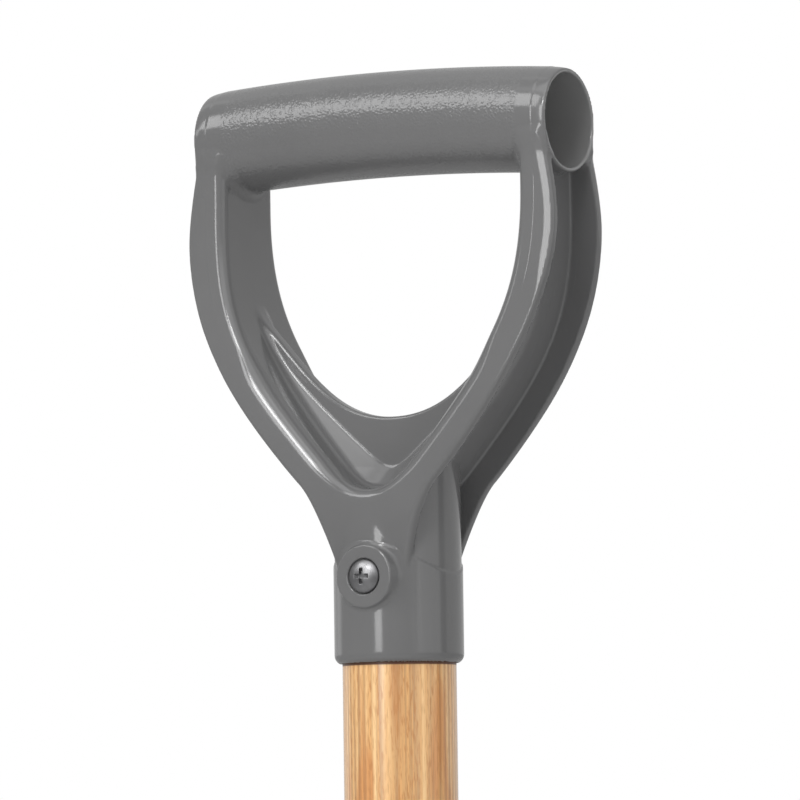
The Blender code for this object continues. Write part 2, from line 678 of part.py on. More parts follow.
def floor_columns():
    """Places across the floor's rear end, right to left: the two corners and the ribs' edges."""
    straight = FLOOR_REAR_HALF_WIDTH - FLOOR_CORNER
    half = []
    for step in range(CURVE_STEPS):
        angle = math.pi / 2 * step / CURVE_STEPS
        half.append((straight + FLOOR_CORNER * math.cos(angle), FLOOR_CORNER * (1 - math.sin(angle))))
    half.append((straight, 0.0))
    edges = [rib * RIB_SPACING + share * RIB_HALF_WIDTH for rib in (1, 0) for share in (1, 0.5, -0.5, -1)]
    half += [(x, 0.0) for x in edges if 0 < x < straight]
    return half + [(-x, forward) for x, forward in reversed(half)]


def rib_rise(x, along):
    """Height of the pressed ribs at a place on the floor, along from 0 at the rear to 1."""
    nearest = min(max(round(x / RIB_SPACING), -1), 1) * RIB_SPACING
    across = 2 * (1 - abs(x - nearest) / RIB_HALF_WIDTH)
    ends = smooth_step((along - RIB_START) / RIB_RUN_OUT) * smooth_step((RIB_END - along) / RIB_RUN_OUT)
    return RIB_HEIGHT * smooth_step(across) * ends


def wall_profile(x, share):
    """The wall above one point of the floor's edge, as (outward, up) pairs.

    Share is 0 round the rear and grows to 1 at the mouth, where the wall runs out.
    """
    corner = (abs(x) - FLOOR_REAR_HALF_WIDTH + FLOOR_CORNER) / FLOOR_CORNER
    turn = 1.0 if share > 0 else smooth_step(corner)
    fall = smooth_step(share) ** SIDE_FALL
    lean = REAR_LEAN + (SIDE_LEAN - REAR_LEAN) * turn
    fillet = REAR_FILLET + (SIDE_FILLET - REAR_FILLET) * turn
    fillet += (MOUTH_FILLET - fillet) * fall
    height = REAR_HEIGHT + (SIDE_HEIGHT - REAR_HEIGHT) * turn
    height += (MOUTH_HEIGHT - height) * fall
    points = []
    for step in range(1, ARC_STEPS + 1):
        angle = lean * step / ARC_STEPS
        points.append((fillet * math.sin(angle), fillet * (1 - math.cos(angle))))
    out, up = points[-1]
    rise = max(height - up, SEAT_GAP)
    out += rise / math.tan(lean)
    up += rise
    points.append((out, up))
    bend = max(RIM_TURN * turn, 1e-3) / RIM_ROLL
    for step in range(1, RIM_STEPS + 1):
        heading = lean - bend * RIM_ROLL * step / RIM_STEPS
        points.append((out + (math.sin(lean) - math.sin(heading)) / bend,
                       up + (math.cos(heading) - math.cos(lean)) / bend))
    return points


def outward_normals(path):
    """Directions away from the floor, square to its edge, at each point of the path."""
    normals = []
    for index in range(len(path)):
        before = path[max(index - 1, 0)]
        after = path[min(index + 1, len(path) - 1)]
        step = Vector((after[0] - before[0], after[1] - before[1])).normalized()
        normals.append((-step.y, step.x))
    return normals


def make_blade(frame, finish):
    """The scoop: a flat ribbed floor with curved walls on three sides and a rolled rim."""
    shape = bmesh.new()
    flare = FLOOR_FRONT_HALF_WIDTH / FLOOR_REAR_HALF_WIDTH
    grid = []
    places = []
    for x, forward in floor_columns():
        nose = FLOOR_LENGTH - NOSE_CURVE * abs(x / FLOOR_REAR_HALF_WIDTH) ** 3
        column = []
        spots = []
        for row in range(FLOOR_ROWS + 1):
            along = row / FLOOR_ROWS
            spot = (x * (1 + (flare - 1) * along), forward + (nose - forward) * along)
            spots.append(spot)
            column.append(shape.verts.new(frame.place(*spot, rib_rise(x, along))))
        grid.append(column)
        places.append(spots)
    for near, far in zip(grid, grid[1:]):
        for row in range(FLOOR_ROWS):
            shape.faces.new((near[row], far[row], far[row + 1], near[row + 1]))
    shares = [row / FLOOR_ROWS for row in range(1, FLOOR_ROWS + 1)]
    edge = list(reversed(grid[0][1:])) + [column[0] for column in grid] + grid[-1][1:]
    path = list(reversed(places[0][1:])) + [spots[0] for spots in places] + places[-1][1:]
    mouthward = list(reversed(shares)) + [0.0] * len(grid) + shares
    rows = []
    for start, spot, normal, share in zip(edge, path, outward_normals(path), mouthward):
        row = [start]
        for out, up in wall_profile(spot[0], share):
            place = frame.place(spot[0] + out * normal[0], spot[1] + out * normal[1], up)
            row.append(shape.verts.new(place))
        rows.append(row)
    for near, far in zip(rows, rows[1:]):
        for index in range(len(near) - 1):
            shape.faces.new((near[index], near[index + 1], far[index + 1], far[index]))
    blade = add_object("blade", shape, finish)
    wall = blade.modifiers.new("sheet", "SOLIDIFY")
    wall.thickness = BLADE_SHEET
    wall.offset = -1
    wall.use_even_offset = True
    return blade


def rivet_places():
    """Middle and outward direction of each blade rivet on the scoop's inner face."""
    places = []
    slope = (-math.sin(REAR_LEAN), -math.cos(REAR_LEAN))
    for side, label in ((-1, "left"), (1, "right")):
        for level, x, up in (("upper", UPPER_RIVET_X, UPPER_RIVET_UP), ("lower", LOWER_RIVET_X, LOWER_RIVET_UP)):
            places.append((label + "_" + level, side * x, wall_point(up, 0), slope))
        places.append((label + "_strap", side * STRAP_RIVET_X, (STRAP_RIVET_FORWARD, 0), (0, -1)))
    return places


def rivet_profile(radius, head, tail, grip_length):
    """Domed head, plain body and flat formed tail; distances start at the head's seat."""
    dome = [math.radians(angle) for angle in (75, 50, 25, 0)]
    profile = [(0, -SEAT_GAP - head[1])]
    profile += [(head[0] * math.cos(a), -SEAT_GAP - head[1] * math.sin(a)) for a in dome]
    far = grip_length + SEAT_GAP
    profile += [(radius, -SEAT_GAP), (radius, far), (tail[0], far), (0.8 * tail[0], far + tail[1])]
    return profile + [(0, far + tail[1])]


def make_rivets(frame, blade, shank, finish):
    """Six rivets through the scoop and the shank's plate, with the holes that they fill."""
    head = (RIVET_HEAD_RADIUS, RIVET_HEAD_HEIGHT)
    tail = (RIVET_TAIL_RADIUS, RIVET_TAIL_HEIGHT)
    for label, x, spot, out in rivet_places():
        place = frame.place(x, *spot)
        axis = frame.place(x, spot[0] + out[0], spot[1] + out[1]) - place
        profile = rivet_profile(RIVET_RADIUS, head, tail, SHANK_OFFSET)
        add_object("rivet_" + label, turned(profile, SMALL_SIDES, axis, place), finish)
        reach = 2 * SHANK_OFFSET
        hole = rod(RIVET_RADIUS + SEAT_GAP, place - reach * axis, place + 2 * reach * axis, SMALL_SIDES)
        guide = add_guide("hole_" + label, hole)
        combine(blade, guide, "DIFFERENCE")
        combine(shank, guide, "DIFFERENCE")


def make_shaft_rivet(shaft, shank, finish):
    """One rivet across the shank's tube and the shaft inside it."""
    z = BEND_Z + SHANK_TUBE_LENGTH - SHAFT_RIVET_FROM_TOP
    edge = SHANK_BORE_RADIUS + SHANK_SHEET
    head = (SHAFT_RIVET_HEAD_RADIUS, SHAFT_RIVET_HEAD_HEIGHT)
    profile = rivet_profile(SHAFT_RIVET_RADIUS, head, head, 2 * edge)
    add_object("shaft_rivet", turned(profile, SMALL_SIDES, (-1, 0, 0), (edge, 0, z)), finish)
    hole = rod(SHAFT_RIVET_RADIUS + SEAT_GAP, (2 * edge, 0, z), (-2 * edge, 0, z), SMALL_SIDES)
    guide = add_guide("hole_shaft_rivet", hole)
    combine(shank, guide, "DIFFERENCE")
    combine(shaft, guide, "DIFFERENCE")


def main():
    clear_scene()
    plastic = material("moulded_plastic", (0.17, 0.17, 0.17), 0.30)
    ash = material("varnished_ash", (0.70, 0.45, 0.22), 0.35)
    zinc = material("zinc_plate", (0.55, 0.55, 0.56), 0.35, 1.0)
    paint = material("painted_steel", (0.05, 0.05, 0.055), 0.40)
    aluminium = material("aluminium_sheet", (0.75, 0.75, 0.76), 0.35, 1.0)
    make_grip(plastic)
    make_grip_screw(zinc)
    frame = BladeFrame()
    seat_frame(frame)
    shaft = make_shaft(frame, ash)
    shank = make_shank(frame, paint)
    blade = make_blade(frame, aluminium)
    make_rivets(frame, blade, shank, zinc)
    make_shaft_rivet(shaft, shank, zinc)


main()
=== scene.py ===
"""Scoop shovel with an ash handle and a moulded D-grip, seen from close by its grip.

Metres, +Z up. The crossbar's underside is at the origin and the scoop opens towards -Y.
"""
import math

import bpy
import numpy as np
from mathutils import Matrix, Vector


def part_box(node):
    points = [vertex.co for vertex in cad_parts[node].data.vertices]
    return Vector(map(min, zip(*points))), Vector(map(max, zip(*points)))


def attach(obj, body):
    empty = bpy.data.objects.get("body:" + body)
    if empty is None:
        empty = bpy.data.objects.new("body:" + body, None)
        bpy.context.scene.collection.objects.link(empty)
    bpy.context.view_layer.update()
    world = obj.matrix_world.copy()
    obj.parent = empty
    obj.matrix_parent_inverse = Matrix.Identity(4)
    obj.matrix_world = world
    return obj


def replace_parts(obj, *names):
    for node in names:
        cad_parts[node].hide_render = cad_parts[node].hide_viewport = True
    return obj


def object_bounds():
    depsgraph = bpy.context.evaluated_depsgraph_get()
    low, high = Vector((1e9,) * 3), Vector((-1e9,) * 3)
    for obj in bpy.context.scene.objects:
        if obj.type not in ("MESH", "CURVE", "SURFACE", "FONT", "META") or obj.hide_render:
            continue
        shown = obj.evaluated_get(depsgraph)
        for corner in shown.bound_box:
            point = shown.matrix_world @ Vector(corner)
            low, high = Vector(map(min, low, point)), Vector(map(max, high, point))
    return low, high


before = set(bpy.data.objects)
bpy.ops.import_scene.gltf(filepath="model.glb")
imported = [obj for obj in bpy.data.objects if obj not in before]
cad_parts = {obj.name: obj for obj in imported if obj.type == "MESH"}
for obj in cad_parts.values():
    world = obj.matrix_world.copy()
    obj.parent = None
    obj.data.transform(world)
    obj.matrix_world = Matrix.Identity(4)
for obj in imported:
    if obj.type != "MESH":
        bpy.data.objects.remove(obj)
solid_box = [list(corner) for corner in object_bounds()]
scene = bpy.context.scene


# Camera
# A long lens 2.2 m away, a third of a right angle round from the front and 65 mm lower than the
# mouth of the grip's socket. It looks slightly up at the grip and leans by less than a degree.
GRIP_HEIGHT = 0.1828
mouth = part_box("grip")[1].z - GRIP_HEIGHT
VIEW_ROUND = math.radians(30.428)
VIEW_DISTANCE = 2.2374
VIEW_DROP = 0.0653
AIM_ASIDE = 0.00124
AIM_HEIGHT = 0.0813
LENS = 328.16
SENSOR = 36
FAR_CLIP = 20
LEAN = math.radians(-0.776)

sideways = Vector((math.cos(VIEW_ROUND), math.sin(VIEW_ROUND), 0))
towards_lens = Vector((math.sin(VIEW_ROUND), -math.cos(VIEW_ROUND), 0))
eye = VIEW_DISTANCE * towards_lens + Vector((0, 0, mouth - VIEW_DROP))
aim = AIM_ASIDE * sideways + Vector((0, 0, mouth + AIM_HEIGHT))
camera = bpy.data.objects.new("camera", bpy.data.cameras.new("camera"))
camera.data.lens = LENS
camera.data.sensor_width = SENSOR
camera.data.clip_end = FAR_CLIP
gaze = (aim - eye).to_track_quat("-Z", "Y").to_matrix().to_4x4()
camera.matrix_world = Matrix.Translation(eye) @ gaze @ Matrix.Rotation(LEAN, 4, "Z")
scene.collection.objects.link(camera)
scene.camera = camera
scene.view_settings.view_transform = "Standard"


# Studio
# A white room: a pale floor whose far parts glow into the white, soft lamps in front, above and
# at the sides that light the grip or draw lines on its gloss, and a surround that is white to
# the lens, with darker sides and two bright windows for what the gloss mirrors.
FLOOR_DROP = 0.03
FLOOR_SIZE = 80.0
PAPER_TONE = 0.82
PAPER_ROUGHNESS = 0.9
GLOW_REACH = (1.6, 4.6)
GLOW_TONES = (0.35, 0.62)


class Flow:
    """One output among a material's nodes. Python's operators on it add Math nodes, so every
    finish below is written as sums and products of what its nodes give out.
    """

    def __init__(self, tree, socket=None):
        self.tree = tree
        self.socket = socket

    def node(self, kind, settings=None, sockets=None, outlet=0):
        """Add a node: its settings first, then a value or a link for each of its sockets."""
        made = self.tree.nodes.new(kind)
        for name, value in (settings or {}).items():
            setattr(made, name, value)
        for name, value in (sockets or {}).items():
            if isinstance(value, Flow):
                self.tree.links.new(value.socket, made.inputs[name])
            else:
                made.inputs[name].default_value = value
        return Flow(self.tree, made.outputs[outlet])

    def sum(self, operation, first, second=0.0):
        """A Math node on two values or outputs."""
        return self.node("ShaderNodeMath", {"operation": operation}, {0: first, 1: second})

    def __add__(self, other):
        return self.sum("ADD", self, other)

    def __radd__(self, other):
        return self.sum("ADD", other, self)

    def __sub__(self, other):
        return self.sum("SUBTRACT", self, other)

    def __rsub__(self, other):
        return self.sum("SUBTRACT", other, self)

    def __mul__(self, other):
        return self.sum("MULTIPLY", self, other)

    def __rmul__(self, other):
        return self.sum("MULTIPLY", other, self)

    def __pow__(self, other):
        return self.sum("POWER", self, other)

    def __abs__(self):
        return self.sum("ABSOLUTE", self)

    def step(self, low, high):
        """0 below low and 1 above high, with a smooth rise between."""
        settings = {"interpolation_type": "SMOOTHSTEP"}
        return self.node("ShaderNodeMapRange", settings, {0: self, 1: low, 2: high})

    def between(self, first, second):
        """The colour that lies this share of the way from the first to the second."""
        return self.node("ShaderNodeMix", {"data_type": "RGBA"}, {0: self, 6: first, 7: second}, 2)


def start_finish(name):
    """A new material without nodes, a Flow to add some to it, and the place on the surface."""
    made = bpy.data.materials.new(name)
    made.use_nodes = True
    tree = made.node_tree
    tree.nodes.clear()
    flow = Flow(tree)
    place = flow.node("ShaderNodeTexCoord", outlet="Object")
    return made, flow, place


def end_finish(made, flow, sockets):
    """Give the material one Principled shader with these values or links."""
    shader = flow.node("ShaderNodeBsdfPrincipled", None, sockets)
    output = made.node_tree.nodes.new("ShaderNodeOutputMaterial")
    made.node_tree.links.new(shader.socket, output.inputs["Surface"])
    return made


def grey(tone):
    """A colour without hue."""
    return tone, tone, tone, 1


floor_z = solid_box[0][2] - FLOOR_DROP
floor_mesh = bpy.data.meshes.new("floor")
half = FLOOR_SIZE / 2
corners = [(x, y, floor_z) for x, y in ((-half, -half), (half, -half), (half, half), (-half, half))]
floor_mesh.from_pydata(corners, [], [(0, 1, 2, 3)])
floor = bpy.data.objects.new("floor", floor_mesh)
scene.collection.objects.link(floor)
paper, flow, place = start_finish("floor_paper")
away = flow.node("ShaderNodeVectorMath", {"operation": "LENGTH"}, {0: place}, 1)
far_glow = away.step(*GLOW_REACH).between(grey(GLOW_TONES[0]), grey(GLOW_TONES[1]))
glow = flow.node("ShaderNodeLightPath", outlet="Is Camera Ray").between(grey(0), far_glow)
floor_mesh.materials.append(end_finish(paper, flow, {
    "Base Color": grey(PAPER_TONE), "Roughness": PAPER_ROUGHNESS, "Emission Color": glow,
    "Emission Strength": 1.0}))

SURROUND = 0.40
SIDE_FILL = 0.15
FILL_ANGLES = (50, 172, 16)
FRONT_ANGLES = (-94, 64)
FRONT_LEVEL = 0.36
PANEL_ANGLES = (110, 124)
PANEL_SHADE = 0.5
REAR_ANGLES = (109, 112)
REAR_SHADE = 0.35
CEILING = (0.66, 0.92)
CEILING_SHARE = 0.35
WINDOW_ANGLES = (14, 58, 16)
WINDOW_FOOT = (0.20, 0.40)
WINDOW_HEAD = (0.82, 0.95)
SKYLIGHT_ANGLES = (-50, 50, 24)
SKYLIGHT_FOOT = (0.74, 0.86)
WINDOW_LEVEL = 1.6
world = bpy.data.worlds.new("white_room")
scene.world = world
world.use_nodes = True
world.node_tree.nodes.clear()
room = Flow(world.node_tree)
towards = room.node("ShaderNodeTexCoord", outlet="Generated")
east, north, high = (room.node("ShaderNodeSeparateXYZ", None, {0: towards}, outlet)
                     for outlet in range(3))
azimuth = east.sum("ARCTAN2", east, -1 * north) * (180 / math.pi)


def between_angles(low, high, soft=3.0):
    """1 where the azimuth lies between two angles, with edges of a given softness."""
    past_low = azimuth.step(low - soft / 2, low + soft / 2)
    past_high = azimuth.step(high - soft / 2, high + soft / 2)
    return past_low * (1 - past_high)


front = between_angles(*FRONT_ANGLES)
dark = between_angles(*PANEL_ANGLES) * PANEL_SHADE + abs(azimuth).step(*REAR_ANGLES) * REAR_SHADE
mirrored_level = 1 - front * (1 - FRONT_LEVEL) - dark
mirrored_level = mirrored_level + (1 - mirrored_level) * high.step(*CEILING) * CEILING_SHARE
window = between_angles(*WINDOW_ANGLES) * high.step(*WINDOW_FOOT) * (1 - high.step(*WINDOW_HEAD))
skylight = between_angles(*SKYLIGHT_ANGLES) * high.step(*SKYLIGHT_FOOT)
mirrored_level = mirrored_level + (window + skylight) * WINDOW_LEVEL
seen, glossy, through = (room.node("ShaderNodeLightPath", outlet=f"Is {kind} Ray")
                         for kind in ("Camera", "Glossy", "Transmission"))
matt_level = SURROUND + SIDE_FILL * between_angles(*FILL_ANGLES)
strength = matt_level + (1 - matt_level) * (seen + through) + glossy * (mirrored_level - matt_level)
surround = room.node("ShaderNodeBackground", None, {"Color": (1, 1, 1, 1), "Strength": strength})
world_output = world.node_tree.nodes.new("ShaderNodeOutputWorld")
world.node_tree.links.new(surround.socket, world_output.inputs["Surface"])


def softbox(name, turned, raised, distance, width, height, brightness, mirrored=True, lights=True):
    """A flat lamp that faces the grip's middle, turned and raised by degrees from the front.

    The gloss doesn't mirror one with mirrored=False, and with lights=False it shows there alone.
    """
    turned, raised = math.radians(turned), math.radians(raised)
    way = Vector((math.sin(turned) * math.cos(raised), -math.cos(turned) * math.cos(raised),
                  math.sin(raised)))
    lamp = bpy.data.lights.new(name, "AREA")
    lamp.shape = "RECTANGLE"
    lamp.size = width
    lamp.size_y = height
    lamp.energy = brightness * math.pi * width * height
    holder = bpy.data.objects.new(name, lamp)
    stand = Vector((0, 0, mouth / 2)) + distance * way
    facing = way.to_track_quat("Z", "Y").to_matrix().to_4x4()
    holder.matrix_world = Matrix.Translation(stand) @ facing
    holder.visible_glossy = mirrored
    holder.visible_diffuse = lights
    scene.collection.objects.link(holder)


softbox("high_box", -35.5, 38, 2.4, 1.15, 0.98, 5.0)
softbox("front_strip", -6.4, 14.8, 2.4, 0.55, 1.31, 6.8)
softbox("upper_patch", 9, 40, 2.4, 0.55, 0.75, 7.5)
softbox("left_patch", -54, 21, 2.4, 0.42, 0.42, 3.0)
softbox("side_fill", 62, 2, 2.4, 0.8, 0.5, 9.0, mirrored=False)
softbox("edge_glint", 5, 35, 2.3, 0.42, 0.46, 15.0, lights=False)


# Grip
# One injection moulding in grey plastic: a socket for the shaft, a boss for its screw, two arms
# that are channels open to the outside, a web between them and a hollow crossbar. It is worked
# out as a field of distances, so every corner has the fillet that a mould gives it.
SHAFT_BORE = 0.0178
SOCKET_OUTSIDE = 0.0199
SOCKET_DEPTH = 0.048
SOCKET_EDGE = 0.0030
COLLAR_STEP = 0.0004
COLLAR_LOW = 0.0275
COLLAR_RISE = 0.0095
NECK_TOP = 0.072
BOSS_HEIGHT = 0.0265
BOSS_RADIUS = 0.0101
BOSS_FACE = 0.0096
BOSS_RISE = 0.0012
BOSS_BACK = 0.0150
BOSS_FILLET = 0.0009
COUNTERBORE_RADIUS = 0.0055
COUNTERBORE_DEPTH = 0.0008
COUNTERBORE_EDGE = 0.0003
SCREW_CLEAR = 0.0024
BAR_HEIGHT = 0.1665
BAR_RADIUS = 0.0163
BAR_BORE = 0.0146
BAR_HALF = 0.0625
BAR_ARCH = 0.0027
BAR_END_LENGTH = 0.0048
BAR_END_FALL = 0.0007
BAR_END_ROUND = 0.98
BAR_STEP_PLACE = 0.0577
BAR_STEP = 0.00012
EDGE_ROUND = 0.0004
CROTCH = 0.0532
INNER_HALF = 0.0521
OUTER_HALF = 0.0650
ARM_WALL = 0.0034
FLANGE = 0.0035
FLANGE_ROUND = 0.0008
LEG_ROUND = 0.0010
INNER_ROUND = 0.0034
CROTCH_ROUND = 0.0024
CHANNEL_ROUND = 0.0008
LIP_ROUND = 0.0006
CREST_WIDTH = 0.0062
CREST_FALL = 0.0004
CREST_SOFTNESS = 0.006
FACET_WIDTH = 0.0032
FACET_SLOPE = 0.21
FACET_SOFTNESS = 0.0004
BAR_DEPTH = 0.0156
LEG_FOOT = 0.026
LEG_SINK = 0.22
WEB_HALF = 0.0025
WEB_RAMP_WIDTH = 0.0075
WEB_RAMP_FOOT = 0.0607
WEB_RAMP_LENGTH = 0.0418
WEB_RAMP_SLOPE = 0.78
WEB_RAMP_SOFTNESS = 0.0008
WEB_ROUND = 0.0012
WEB_FILLET = 0.0022
BAR_FILLET = 0.0034
NECK_FILLET = 0.0005
GRIP_CELL = 0.00060
TABLE_CELL = 0.00035
TABLE_ASIDE = 4
TABLE_BELOW = 12
GRIP_SPLITS = (0.072, 0.138)
# Heights over the socket's mouth between which a form of the arms comes or goes
TAPER = (0.076, 0.145)
LEG_END = (LEG_FOOT - 0.004, 0.062)
LEG_ROUND_END = (0.062, 0.090)
CREST_START = (0.060, 0.085)
FACET_START = (0.100, 0.124)
CROTCH_ROUND_START = (CROTCH - 0.004, 0.062)
CROTCH_ROUND_END = (0.085, 0.100)


def bezier(start, pull_start, pull_end, end, count=90):
    """Cubic curve: its ends and pulls, weighted by u^3, 3u^2 t, 3u t^2 and t^3 with u = 1 - t."""
    t = np.linspace(0, 1, count)[:, None]
    u = 1 - t
    places = (start, pull_start, pull_end, end)
    first, second, third, last = (np.array(place, float) for place in places)
    return u ** 3 * first + 3 * u * u * t * second + 3 * u * t * t * third + t ** 3 * last


def side_of(line, across, height):
    """Distance from a line of points, counted positive on its left and negative on its right."""
    nearest = np.full(np.broadcast(across, height).shape, np.inf)
    side = np.ones_like(nearest)
    for (x0, z0), (x1, z1) in zip(line, line[1:]):
        dx, dz = x1 - x0, z1 - z0
        along = np.clip(((across - x0) * dx + (height - z0) * dz) / (dx * dx + dz * dz), 0, 1)
        off_x, off_z = across - x0 - along * dx, height - z0 - along * dz
        distance = off_x ** 2 + off_z ** 2
        closer = distance < nearest
        nearest = np.where(closer, distance, nearest)
        side = np.where(closer, np.sign(dx * off_z - dz * off_x), side)
    return side * np.sqrt(nearest)


def distance_table(*stretches):
    """Signed distances from one outline over the right half of the grip, to look up later."""
    line = np.vstack(stretches)
    line = line[np.concatenate([[True], np.any(np.diff(line, axis=0) != 0, axis=1)])]
    across = np.arange(-TABLE_ASIDE, OUTER_HALF / TABLE_CELL + 2 * TABLE_ASIDE) * TABLE_CELL
    top = (BAR_HEIGHT + BAR_RADIUS) / TABLE_CELL
    height = np.arange(-TABLE_BELOW, top + TABLE_BELOW) * TABLE_CELL
    return side_of(line, across[:, None], height[None, :])


def look_up(table, across, height):
    """The table's distance at a place, blended from the four entries around it.

    A place past the table's edge takes what stands just inside its last entry.
    """
    column = np.clip(across / TABLE_CELL + TABLE_ASIDE, 0, table.shape[0] - 1.001)
    row = np.clip(height / TABLE_CELL + TABLE_BELOW, 0, table.shape[1] - 1.001)
    i, j = column.astype(int), row.astype(int)
    p, q = column - i, row - j
    low = table[i, j] * (1 - p) + table[i + 1, j] * p
    high = table[i, j + 1] * (1 - p) + table[i + 1, j + 1] * p
    return low * (1 - q) + high * q


def rounded_cut(first, second, radius):
    """What lies in both shapes, the edge between them rounded to the radius."""
    corner = np.hypot(np.maximum(radius + first, 0), np.maximum(radius + second, 0))
    return np.minimum(-radius, np.maximum(first, second)) + corner


def filleted_join(first, second, radius):
    """Both shapes together, the inner corner between them filled to the radius."""
    corner = np.hypot(np.maximum(radius - first, 0), np.maximum(radius - second, 0))
    return np.maximum(radius, np.minimum(first, second)) - corner


def ease(low, high, value):
    """0 below low, 1 above high and a smooth rise between."""
    share = np.clip((value - low) / (high - low), 0, 1)
    return share * share * (3 - 2 * share)


turn_in = (0.0140, CROTCH + 0.0083)
upright = (INNER_HALF, BAR_HEIGHT - 0.0252)
opening_table = distance_table(
    [(-0.02, CROTCH)],
    bezier((0, CROTCH), (0.0065, CROTCH), (turn_in[0] - 0.0040, turn_in[1] - 0.0042), turn_in),
    bezier(turn_in, (INNER_HALF - 0.0076, CROTCH + 0.0418), (INNER_HALF, upright[1] - 0.0318),
           upright, 180),
    [(INNER_HALF, 0.22)])
shoulder = (0.0246, CROTCH + 0.0028)
widest = (OUTER_HALF, BAR_HEIGHT - 0.0337)
arm_top = (BAR_HALF - 0.0006, BAR_HEIGHT - 0.0110)
outside_table = distance_table(
    [(-0.02, LEG_FOOT)],
    bezier((0.0119, LEG_FOOT), (0.0140, 0.0367), (shoulder[0] - 0.0057, shoulder[1] - 0.0052), shoulder),
    bezier(shoulder, (OUTER_HALF - 0.0230, CROTCH + 0.0210), (OUTER_HALF, widest[1] - 0.0285),
           widest, 180),
    bezier(widest, (OUTER_HALF, widest[1] + 0.008), (arm_top[0] + 0.0011, arm_top[1] - 0.0055), arm_top),
    [(arm_top[0] - 0.0020, arm_top[1] + 0.004), (-0.02, arm_top[1] + 0.004)])
web_low = CROTCH + 0.023
web_end = (INNER_HALF + ARM_WALL, web_low + 0.040)
web_table = distance_table(
    [(-0.02, web_low)],
    bezier((0, web_low), (0.027, web_low), (web_end[0] - 0.020, web_end[1] - 0.015), web_end, 160),
    [(2 * INNER_HALF, web_end[1] + 0.040)])


def grip_field(x, y, z):
    """Distance from the moulding's surface, negative inside the plastic.

    Arms: both outlines and the depth, less the channels. Neck, web, crossbar and boss are
    joined to them with fillets, then the bores are taken out.
    """
    across, deep, height = np.abs(x), np.abs(y), z - mouth
    opening = look_up(opening_table, across, height)
    outside = -look_up(outside_table, across, height)
    above_web = look_up(web_table, across, height)

    depth = SOCKET_OUTSIDE + (BAR_DEPTH - SOCKET_OUTSIDE) * ease(*TAPER, height)
    depth = depth - SOCKET_OUTSIDE * LEG_SINK * (1 - ease(*LEG_END, height)) ** 2
    crest = (CREST_WIDTH + opening) / CREST_WIDTH
    crest_fall = CREST_FALL * ease(*CREST_START, height)
    bevel = crest_fall * (crest + np.sqrt(crest ** 2 + CREST_SOFTNESS)) / 2
    facet = FACET_WIDTH * ease(*FACET_START, height) + outside
    bevel = bevel + FACET_SLOPE * (facet + np.hypot(facet, FACET_SOFTNESS)) / 2
    low_round = ease(*CROTCH_ROUND_START, height) * (1 - ease(*CROTCH_ROUND_END, height))
    slab = rounded_cut(deep - depth + bevel, opening, INNER_ROUND + CROTCH_ROUND * low_round)
    outer_round = FLANGE_ROUND + LEG_ROUND * (1 - ease(*LEG_ROUND_END, height))
    arms = rounded_cut(slab, outside, outer_round)
    channel = rounded_cut(ARM_WALL + opening, deep - depth + FLANGE, CHANNEL_ROUND)
    arms = rounded_cut(arms, -channel, LIP_ROUND)

    around = np.hypot(x, y)
    front = deep / np.maximum(around, 1e-6)
    collar = COLLAR_LOW + COLLAR_RISE * front ** 2
    core = SOCKET_OUTSIDE - COLLAR_STEP * ease(-EDGE_ROUND, EDGE_ROUND, height - collar)
    neck = rounded_cut(around - core, -height, SOCKET_EDGE)
    neck = rounded_cut(neck, height - NECK_TOP, INNER_ROUND)
    neck = rounded_cut(neck, opening, INNER_ROUND)
    body = filleted_join(arms, neck, NECK_FILLET)

    narrowing = np.clip(1 - (height - WEB_RAMP_FOOT) / WEB_RAMP_LENGTH, 0, 1)
    ramp = WEB_RAMP_WIDTH * narrowing - opening
    ramp = WEB_RAMP_SLOPE * (ramp + np.hypot(ramp, WEB_RAMP_SOFTNESS)) / 2
    web = rounded_cut(deep - WEB_HALF - ramp, above_web, WEB_ROUND)
    web = np.maximum(web, -opening - ARM_WALL / 2)
    body = filleted_join(body, web, WEB_FILLET)

    axis = BAR_HEIGHT - BAR_ARCH * (across / BAR_HALF) ** 2
    from_axis = np.hypot(y, height - axis)
    over = np.clip((across - BAR_HALF + BAR_END_LENGTH) / BAR_END_LENGTH, 0, 1)
    radius = BAR_RADIUS - BAR_END_FALL * (1 - np.sqrt(1 - BAR_END_ROUND * over * over))
    radius = radius - BAR_STEP * ease(BAR_STEP_PLACE, BAR_STEP_PLACE + EDGE_ROUND, across)
    bar = rounded_cut(from_axis - radius, across - BAR_HALF, EDGE_ROUND)
    body = filleted_join(body, bar, BAR_FILLET)
    body = rounded_cut(body, np.minimum(across - BAR_HALF, BAR_RADIUS - from_axis), EDGE_ROUND)
    body = rounded_cut(body, BAR_BORE - from_axis, EDGE_ROUND)

    from_screw = np.hypot(x, height - BOSS_HEIGHT)
    face = SOCKET_OUTSIDE + BOSS_RISE
    slope = (BOSS_RADIUS - BOSS_FACE) / (2 * BOSS_RISE)
    boss = rounded_cut(from_screw - BOSS_FACE - slope * (face + y), -y - face, EDGE_ROUND)
    boss = np.maximum(boss, y + BOSS_BACK)
    body = filleted_join(body, boss, BOSS_FILLET)
    seat = np.maximum(from_screw - COUNTERBORE_RADIUS, face - COUNTERBORE_DEPTH + y)
    body = rounded_cut(body, -seat, COUNTERBORE_EDGE)
    body = np.maximum(body, -np.maximum(from_screw - SCREW_CLEAR, y))
    socket = np.maximum(around - SHAFT_BORE, height - SOCKET_DEPTH)
    return rounded_cut(body, -socket, EDGE_ROUND)


def slope_of(field, points, reach):
    """The field at each point and how fast it changes along X, Y and Z."""
    x, y, z = points.T
    slope = np.stack([field(x + reach, y, z) - field(x - reach, y, z),
                      field(x, y + reach, z) - field(x, y - reach, z),
                      field(x, y, z + reach) - field(x, y, z - reach)], axis=1)
    return field(x, y, z), slope / (2 * reach)


